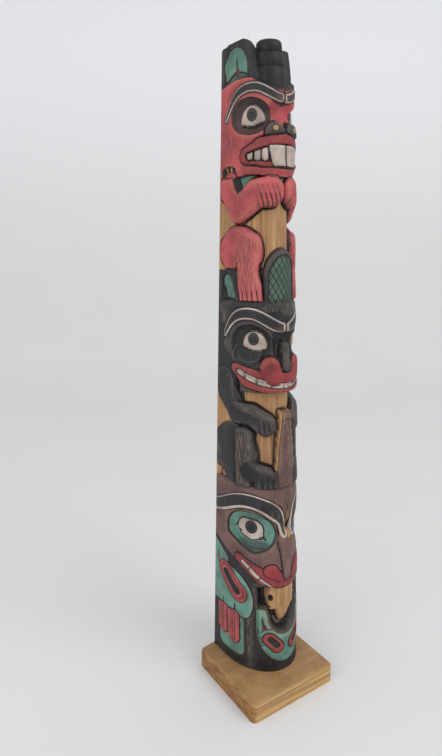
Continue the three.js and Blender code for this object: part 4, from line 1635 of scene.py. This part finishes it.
def added(name: str) -> bpy.types.Object:
    """Names the object that an operator has just added and returns it.

    Args:
        name: its name.

    Returns:
        The object.
    """
    piece = bpy.context.object
    piece.name = name
    piece.data.name = name
    return piece


def settle(piece: bpy.types.Object) -> None:
    """Puts a piece's place and turn into its mesh.

    Args:
        piece: the piece.
    """
    deselect()
    piece.select_set(True)
    bpy.context.view_layer.objects.active = piece
    bpy.ops.object.transform_apply(location=True, rotation=True, scale=True)


def apply_modifier(piece: bpy.types.Object, kind: str, **settings: object) -> None:
    """Adds a modifier with its settings and applies it.

    Args:
        piece: the piece.
        kind: the kind of modifier.
        settings: its settings.
    """
    deselect()
    piece.select_set(True)
    bpy.context.view_layer.objects.active = piece
    modifier = piece.modifiers.new(kind.lower(), kind)
    for key, value in settings.items():
        setattr(modifier, key, value)
    bpy.ops.object.modifier_apply(modifier=modifier.name)


def smooth_faces(piece: bpy.types.Object, degrees: float) -> None:
    """Shades a piece smooth, with creases at edges sharper than an angle.

    Args:
        piece: the piece.
        degrees: the sharpest angle that is still smooth.
    """
    deselect()
    piece.select_set(True)
    bpy.context.view_layer.objects.active = piece
    bpy.ops.object.shade_smooth_by_angle(angle=math.radians(degrees))


def report(piece: bpy.types.Object) -> None:
    """Logs a finished piece's name and triangles."""
    triangles = sum(len(p.vertices) - 2 for p in piece.data.polygons)
    log.info("%s: %d triangles", piece.name, triangles)


@dataclass
class CarvedPole:
    """The carved log: its skin, the ears, the hat and all its paint."""

    blank: LogBlank = field(default_factory=LogBlank)
    beaver: Beaver = field(default_factory=Beaver)
    bear: Bear = field(default_factory=Bear)
    bird: Bird = field(default_factory=Bird)
    side_columns: int = 80
    corner_columns: int = 3
    back_columns: int = 3
    rows: int = 560
    side_notches: tuple[Station, ...] = ((490.5, 10.0, 3.0), (275.5, 10.0, 3.0), (621.0, 7.0, 1.6))
    ear_gap: float = 15.0
    hat_y: float = 18.6
    hat_low: float = 696.0
    hat_rings: tuple[Station, ...] = ((19.8, 18.2, 721.0), (17.2, 15.4, 735.0), (14.0, 13.2, 746.0))
    hat_top: tuple[tuple[float, float], ...] = ((11.4, 746.9), (7.5, 747.5), (0.0, 747.9))

    def _stations(self) -> tuple[Array, Array]:
        """Returns the columns as shares round each side, and the row heights."""
        shares = np.linspace(0.0, 1.0, self.side_columns + 1)
        rows = np.linspace(self.blank.low, self.blank.top, self.rows)
        return shares, rows

    def _skin(self) -> bpy.types.Object:
        """Wraps a flat grid round the log, carves it and closes its ends.

        Returns:
            The piece.
        """
        shares, rows = self._stations()
        columns = 2 * (self.side_columns + self.corner_columns + self.back_columns)
        deselect()
        bpy.ops.mesh.primitive_grid_add(x_subdivisions=columns, y_subdivisions=len(rows) - 1, size=1.0)
        piece = added("carved_pole_skin")
        grid = np.zeros(len(piece.data.vertices) * 3)
        piece.data.vertices.foreach_get("co", grid)
        grid = grid.reshape(-1, 3)
        col = np.rint((grid[:, 0] + 0.5) * columns).astype(int)
        row = np.rint((grid[:, 1] + 0.5) * (len(rows) - 1)).astype(int)
        sides, base, out, edge = self._wrap(shares, rows)
        canvas = Canvas(sides, np.repeat(rows[:, None], sides.shape[1], axis=1), edge)
        self._carve(canvas)
        for name, marks in canvas.lines.items():
            canvas.lines[name] = np.where(edge < 1.0, NO_LINE, marks)
        height = canvas.h * smooth(0.0, 5.0, edge)
        spot = base + out * height[..., None]
        x = spot[..., 0] + self.blank.middle_x(canvas.z)
        place = np.stack([x, spot[..., 1], canvas.z], axis=-1) * MM
        piece.data.vertices.foreach_set("co", place[row, col].ravel())
        self._store(piece, canvas, row, col, height)
        self._close(piece)
        return piece

    def _wrap(self, shares: Array, rows: Array) -> tuple[Array, Array, Array, Array]:
        """Lays out every column round the log at every row.

        Args:
            shares: columns as shares of a side.
            rows: row heights.

        Returns:
            Signed distance round, plan position, outward direction, distance to the corner.
        """
        blank = self.blank
        corner, back = self.corner_columns, self.back_columns
        half = len(shares) - 1 + corner + back
        count = 2 * half + 1
        sides = np.zeros((len(rows), count))
        base = np.zeros((len(rows), count, 2))
        out = np.zeros((len(rows), count, 2))
        edge = np.zeros((len(rows), count))
        for i, z in enumerate(rows):
            a, x, y, nx, ny = blank.side(float(z))
            end = a[-1]
            at = shares * end
            px, py, qx, qy = (np.interp(at, a, v) for v in (x, y, nx, ny))
            turn = np.linspace(0.0, math.pi / 2.0, corner + 1)[1:]
            r = blank.back_corner
            inwards = np.linspace(x[-1] - r, 0.0, back + 1)[1:]
            px = np.concatenate([px, x[-1] - r + r * np.cos(turn), inwards])
            py = np.concatenate([py, blank.back_y - r + r * np.sin(turn), np.full(back, blank.back_y)])
            qx = np.concatenate([qx, np.cos(turn), np.zeros(back)])
            qy = np.concatenate([qy, np.sin(turn), np.ones(back)])
            across_back = (x[-1] - r) * np.arange(1, back + 1) / back
            past = np.concatenate([turn * r, turn[-1] * r + across_back])
            at = np.concatenate([at, end + past])
            order = np.arange(half, -1, -1)
            sides[i] = np.concatenate([-at[order], at[1:]])
            base[i, :, 0] = np.concatenate([-px[order], px[1:]])
            base[i, :, 1] = np.concatenate([py[order], py[1:]])
            out[i, :, 0] = np.concatenate([-qx[order], qx[1:]])
            out[i, :, 1] = np.concatenate([qy[order], qy[1:]])
            edge[i] = end - np.concatenate([at[order], at[1:]])
        return sides, base, out, edge

    def _carve(self, c: Canvas) -> None:
        """Carves and paints the figures from the foot up.

        Args:
            c: the skin to carve and paint.
        """
        self.bird.head(c)
        self.bird.body(c)
        self.bear.head(c)
        self.bear.body(c)
        self.beaver.head(c)
        self.beaver.body(c)
        self.beaver.ears(c)
        c.paint(c.edge + 2.5 + 0.8 * np.sin(c.z * 0.21) * np.sin(c.z * 0.057), Coat.WOOD)
        for mid, half, depth in self.side_notches:
            share = np.clip(1.0 - ((c.z - mid) / half) ** 2, 0.0, 1.0)
            c.h = c.h - depth * share * smooth(68.0, 82.0, c.a)
        knife = np.sin(c.s * 0.61 + 1.3 * np.sin(c.z * 0.19)) * np.sin(c.z * 0.37 + c.s * 0.11)
        c.h = c.h + 0.12 * knife

    def _store(self, piece: bpy.types.Object, c: Canvas, row: Array, col: Array, height: Array) -> None:
        """Keeps the paints, lines, painted shade, hollows (for painted shade) and edges as attributes of the
        mesh.

        Args:
            piece: the piece.
            c: the skin to carve and paint.
            row: row of each vertex.
            col: column of each vertex.
            height: height of the carving.
        """
        near, wide = blurred(height, 1), blurred(height, 3)
        values = {coat.value: grown for coat, grown in c.coats.items()} | c.lines
        values |= {"wear_and_highlight": c.wear_and_highlight, "painted_shade": c.painted_shade, "across": c.across, "along": c.along}
        # How far each place sits below its neighbours, which the material darkens as painted shade.
        values["hollow_shade"] = np.clip((near - height) / 0.9, 0.0, 1.0)
        values["ridge"] = np.clip((height - wide) / 1.1 - 0.25, 0.0, 1.0)
        for name, value in values.items():
            layer = piece.data.attributes.new(name, "FLOAT", "POINT")
            layer.data.foreach_set("value", value[row, col].astype(np.float32))

    def _close(self, piece: bpy.types.Object) -> None:
        """Joins the seam up the middle of the back and caps both ends.

        Args:
            piece: the piece.
        """
        bpy.context.view_layer.objects.active = piece
        bpy.ops.object.mode_set(mode="EDIT")
        bpy.ops.mesh.select_mode(type="VERT")
        bpy.ops.mesh.select_all(action="SELECT")
        bpy.ops.mesh.remove_doubles(threshold=1e-6)
        bpy.ops.mesh.select_all(action="SELECT")
        bpy.ops.mesh.fill_holes(sides=0)
        bpy.ops.mesh.normals_make_consistent(inside=False)
        bpy.ops.object.mode_set(mode="OBJECT")

    def _front_waste(self, black: bpy.types.Material) -> bpy.types.Object:
        """Returns the waste before the ears and over their round tops.

        Args:
            black: the paint left on what is cut.

        Returns:
            The cutter.
        """
        outline = [
            (-60.0, 697.0), (-5.4, 697.4), (-1.4, 701.0), (4.6, 704.8), (10.0, 708.5), (22.5, 743.5),
            (24.0, 746.5), (28.0, 750.5), (36.0, 751.0), (47.0, 747.2), (54.0, 743.0), (60.0, 738.5),
            (80.0, 738.0), (80.0, 780.0), (-60.0, 780.0),
        ]
        return self._prism("front_waste", [(-90.0, y, z) for y, z in outline], (180.0, 0.0), black)

    def _middle_waste(self, black: bpy.types.Material) -> bpy.types.Object:
        """Returns the waste between the two ears, which lean a little outwards.

        Args:
            black: the paint left on what is cut.

        Returns:
            The cutter.
        """
        gap = self.ear_gap
        side = [
            (gap, 708.7), (gap, 739.0), (gap + 1.2, 742.5), (gap + 4.0, 746.0), (gap + 8.0, 747.4),
            (gap + 12.0, 747.6), (gap + 16.0, 746.2), (gap + 18.6, 744.6),
            (gap + 40.0, 744.0), (gap + 40.0, 790.0),
        ]
        far = [(x, self._far_height(x, z)) for x, z in side]
        outline = [(-x, z) for x, z in side[::-1]] + far
        points = [(self.blank.middle[1] + x, -70.0, z) for x, z in outline]
        return self._prism("middle_waste", points, (0.0, 170.0), black)

    def _far_height(self, x: float, z: float) -> float:
        """Lowers the top of the far ear, which stands a little below the near one.

        Args:
            x: distance from the middle of the gap.
            z: height of the near ear there.

        Returns:
            The height of the far ear.
        """
        if z < 740.0 or z > 745.0 and x > self.ear_gap + 30.0:
            return z
        return z - 2.6 - 0.16 * (x - self.ear_gap)

    def _prism(
        self, name: str, outline: list[Station], reach: tuple[float, float], black: bpy.types.Material
    ) -> bpy.types.Object:
        """Returns an outline drawn out along x and y as a cutter.

        Args:
            name: the cutter's name.
            outline: its corners, in millimetres.
            reach: how far it is drawn out along x and along y.
            black: the paint it leaves on what it cuts.

        Returns:
            The cutter.
        """
        deselect()
        bpy.ops.mesh.primitive_circle_add(vertices=len(outline), radius=1.0, fill_type="NGON")
        cutter = added(name)
        for vertex, corner in zip(cutter.data.vertices, outline):
            vertex.co = Vector(corner) * MM
        bpy.ops.object.mode_set(mode="EDIT")
        bpy.ops.mesh.select_all(action="SELECT")
        draw = (reach[0] * MM, reach[1] * MM, 0.0)
        bpy.ops.mesh.extrude_region_move(TRANSFORM_OT_translate={"value": draw})
        bpy.ops.mesh.select_all(action="SELECT")
        bpy.ops.mesh.normals_make_consistent(inside=False)
        bpy.ops.object.mode_set(mode="OBJECT")
        cutter.data.materials.append(black)
        return cutter

    def _hat(self, black: bpy.types.Material) -> bpy.types.Object:
        """Returns the hat, turned as three rings with a round top.

        Args:
            black: the paint left on what is cut.

        Returns:
            The hat.
        """
        outline = [(0.0, self.hat_low)]
        low = self.hat_low
        for wide, narrow, top in self.hat_rings:
            outline += [(wide - 0.5, low), (wide, low + 1.0)]
            outline.append((mix(wide, narrow, 0.6), mix(low, top, 0.6)))
            outline += [(narrow, top - 1.0), (narrow - 0.9, top)]
            low = top + 0.4
        outline += self.hat_top
        deselect()
        bpy.ops.mesh.primitive_circle_add(vertices=len(outline), radius=1.0, fill_type="NOTHING")
        piece = added("hat")
        for vertex, (r, z) in zip(piece.data.vertices, outline):
            vertex.co = ((r + self.blank.middle[1]) * MM, self.hat_y * MM, z * MM)
        bpy.ops.object.mode_set(mode="EDIT")
        bpy.ops.mesh.select_all(action="SELECT")
        centre = (self.blank.middle[1] * MM, self.hat_y * MM, 0.0)
        bpy.ops.mesh.spin(steps=72, angle=math.tau, center=centre, axis=(0.0, 0.0, 1.0))
        bpy.ops.mesh.select_all(action="SELECT")
        bpy.ops.mesh.remove_doubles(threshold=1e-5)
        bpy.ops.mesh.normals_make_consistent(inside=False)
        bpy.ops.object.mode_set(mode="OBJECT")
        piece.data.materials.append(black)
        return piece

    def build(self) -> bpy.types.Object:
        """Builds the pole and dresses it.

        Returns:
            The finished piece.
        """
        piece = self._skin()
        black = SootBlack().build()
        piece.data.materials.append(PaintedLog().build())
        piece.data.materials.append(black)
        cutters = [self._front_waste(black), self._middle_waste(black)]
        exact = {"solver": "EXACT", "material_mode": "TRANSFER"}
        for cutter in cutters:
            apply_modifier(piece, "BOOLEAN", operation="DIFFERENCE", object=cutter, **exact)
        hat = self._hat(black)
        apply_modifier(piece, "BOOLEAN", operation="UNION", object=hat, **exact)
        for helper in (*cutters, hat):
            bpy.data.objects.remove(helper)
        smooth_faces(piece, 50.0)
        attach(piece, "root")
        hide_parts("carved_pole")
        report(piece)
        return piece


@dataclass
class Block:
    """The plain block the pole stands on, with eased edges."""

    corner: float = 7.0
    edge: float = 5.0
    segments: int = 8

    def build(self) -> bpy.types.Object:
        """Builds the block and dresses it.

        Returns:
            The finished piece.
        """
        low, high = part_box("base_block")

        def upright(p: Vector, q: Vector) -> bool:
            """Returns whether an edge stands upright."""
            return abs(p.z - q.z) > 0.01

        def round_top(p: Vector, q: Vector) -> bool:
            """Returns whether an edge runs round the top, other than along the back."""
            return min(p.z, q.z) > high.z - 1e-5 and not min(p.y, q.y) > high.y - 1e-5

        deselect()
        bpy.ops.mesh.primitive_cube_add(size=1.0, location=(low + high) / 2.0)
        piece = added("base_block_wood")
        piece.scale = high - low
        settle(piece)
        self._bevel(piece, upright, self.corner * MM)
        self._bevel(piece, round_top, self.edge * MM)
        piece.data.materials.append(BlockWood().build())
        smooth_faces(piece, 40.0)
        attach(piece, "root")
        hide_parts("base_block")
        report(piece)
        return piece

    def _bevel(
        self, piece: bpy.types.Object, chosen: Callable[[Vector, Vector], bool], width: float
    ) -> None:
        """Bevels the edges whose two ends pass a test.

        Args:
            piece: the piece.
            chosen: tells whether an edge is taken, from its two ends.
            width: width of the bevel in metres.
        """
        deselect()
        bpy.context.view_layer.objects.active = piece
        piece.select_set(True)
        mesh = piece.data
        bpy.ops.object.mode_set(mode="EDIT")
        bpy.ops.mesh.select_mode(type="EDGE")
        bpy.ops.mesh.select_all(action="DESELECT")
        bpy.ops.object.mode_set(mode="OBJECT")
        for edge in mesh.edges:
            p, q = (mesh.vertices[i].co for i in edge.vertices)
            edge.select = bool(chosen(p, q))
        bpy.ops.object.mode_set(mode="EDIT")
        bpy.ops.mesh.bevel(offset=width, segments=self.segments, affect="EDGES")
        bpy.ops.object.mode_set(mode="OBJECT")


@dataclass(frozen=True)
class Studio:
    """Pale floor, soft light and the camera."""

    camera_at: tuple[float, float, float] = (-0.3959, -0.4942, 0.5517)
    camera_turn: float = -33.63
    camera_down: float = 13.85
    camera_roll: float = -0.2
    lens: float = 27.05
    bend_at: float = 1.4
    bend: float = 0.9
    wall_top: float = 6.0

    def build(self) -> None:
        """Sets up the floor, the lights, the world and the camera."""
        self._floor()
        self._lights()
        self._camera()

    def _floor(self) -> None:
        """Lays a floor that curves up into a backdrop behind the object, painted lighter higher up as
        painted light.
        """
        deselect()
        bpy.ops.mesh.primitive_grid_add(x_subdivisions=4, y_subdivisions=48, size=12.0)
        floor = added("studio_floor")
        turn = math.radians(self.camera_turn)
        for vertex in floor.data.vertices:
            x, y = vertex.co.x, vertex.co.y
            rise = max(0.0, y - self.bend_at)
            vertex.co.z = min(self.wall_top, rise * rise * self.bend)
            vertex.co.x = x * math.cos(turn) - y * math.sin(turn)
            vertex.co.y = x * math.sin(turn) + y * math.cos(turn)
        smooth_faces(floor, 180.0)
        material = bpy.data.materials.new("studio_paper")
        n = Nodes(material)
        place = n.add("ShaderNodeTexCoord").outputs["Object"]
        height = n.add("ShaderNodeSeparateXYZ")
        n.feed(place, height.inputs[0])
        tone = n.blend(n.noise(place, 3.0, 2.0, 0.5), (0.66, 0.655, 0.64, 1.0), (0.70, 0.695, 0.68, 1.0))
        # Painted light: the backdrop is made lighter higher up.
        tone = n.blend(n.ramp(height.outputs[2], 0.2, 1.6), tone, (0.84, 0.84, 0.83, 1.0))
        n.finish(tone, 0.85, n.noise(place, 900.0, 2.0, 0.5), 0.02, 0.0002)
        floor.data.materials.append(material)

    def _lights(self) -> None:
        """Hangs a large soft light up and to the left, and fills from the right."""
        self._lamp("key_light", (0.9, -1.9, 2.3), 26.0, 1.6)
        self._lamp("fill_light", (-2.1, -0.6, 1.5), 14.0, 1.8)
        world = bpy.data.worlds.new("studio_air")
        bpy.context.scene.world = world
        bpy.context.scene.view_settings.view_transform = "Standard"
        world.use_nodes = True
        background = world.node_tree.nodes["Background"]
        background.inputs["Color"].default_value = (0.93, 0.95, 1.0, 1.0)
        background.inputs["Strength"].default_value = 0.88

    def _lamp(self, name: str, place: tuple[float, float, float], power: float, size: float) -> None:
        """Hangs one square lamp turned to the object.

        Args:
            name: the lamp's name.
            place: where it hangs.
            power: power in watts.
            size: side of the lamp.
        """
        deselect()
        bpy.ops.object.light_add(type="AREA", location=place)
        lamp = bpy.context.object
        lamp.name = name
        lamp.data.energy = power
        lamp.data.size = size
        aim = Vector((0.0, 0.0, 0.38)) - Vector(place)
        lamp.rotation_euler = aim.to_track_quat("-Z", "Y").to_euler()

    def _camera(self) -> None:
        """Puts the camera at the front left, a little above the middle, looking down."""
        data = bpy.data.cameras.new("camera")
        camera = bpy.data.objects.new("camera", data)
        bpy.context.scene.collection.objects.link(camera)
        data.sensor_fit = "VERTICAL"
        data.sensor_height = 36.0
        data.lens = self.lens
        data.dof.use_dof = False
        turn = Matrix.Rotation(math.radians(self.camera_turn), 4, "Z")
        tilt = Matrix.Rotation(math.radians(90.0 - self.camera_down), 4, "X")
        roll = Matrix.Rotation(math.radians(self.camera_roll), 4, "Z")
        camera.matrix_world = Matrix.Translation(self.camera_at) @ turn @ tilt @ roll
        bpy.context.scene.camera = camera


def main() -> None:
    """Builds the pole, the block and the studio."""
    logging.basicConfig(level=logging.INFO, format="%(name)s %(message)s")
    CarvedPole().build()
    Block().build()
    Studio().build()


if __name__ == "__main__":
    main()
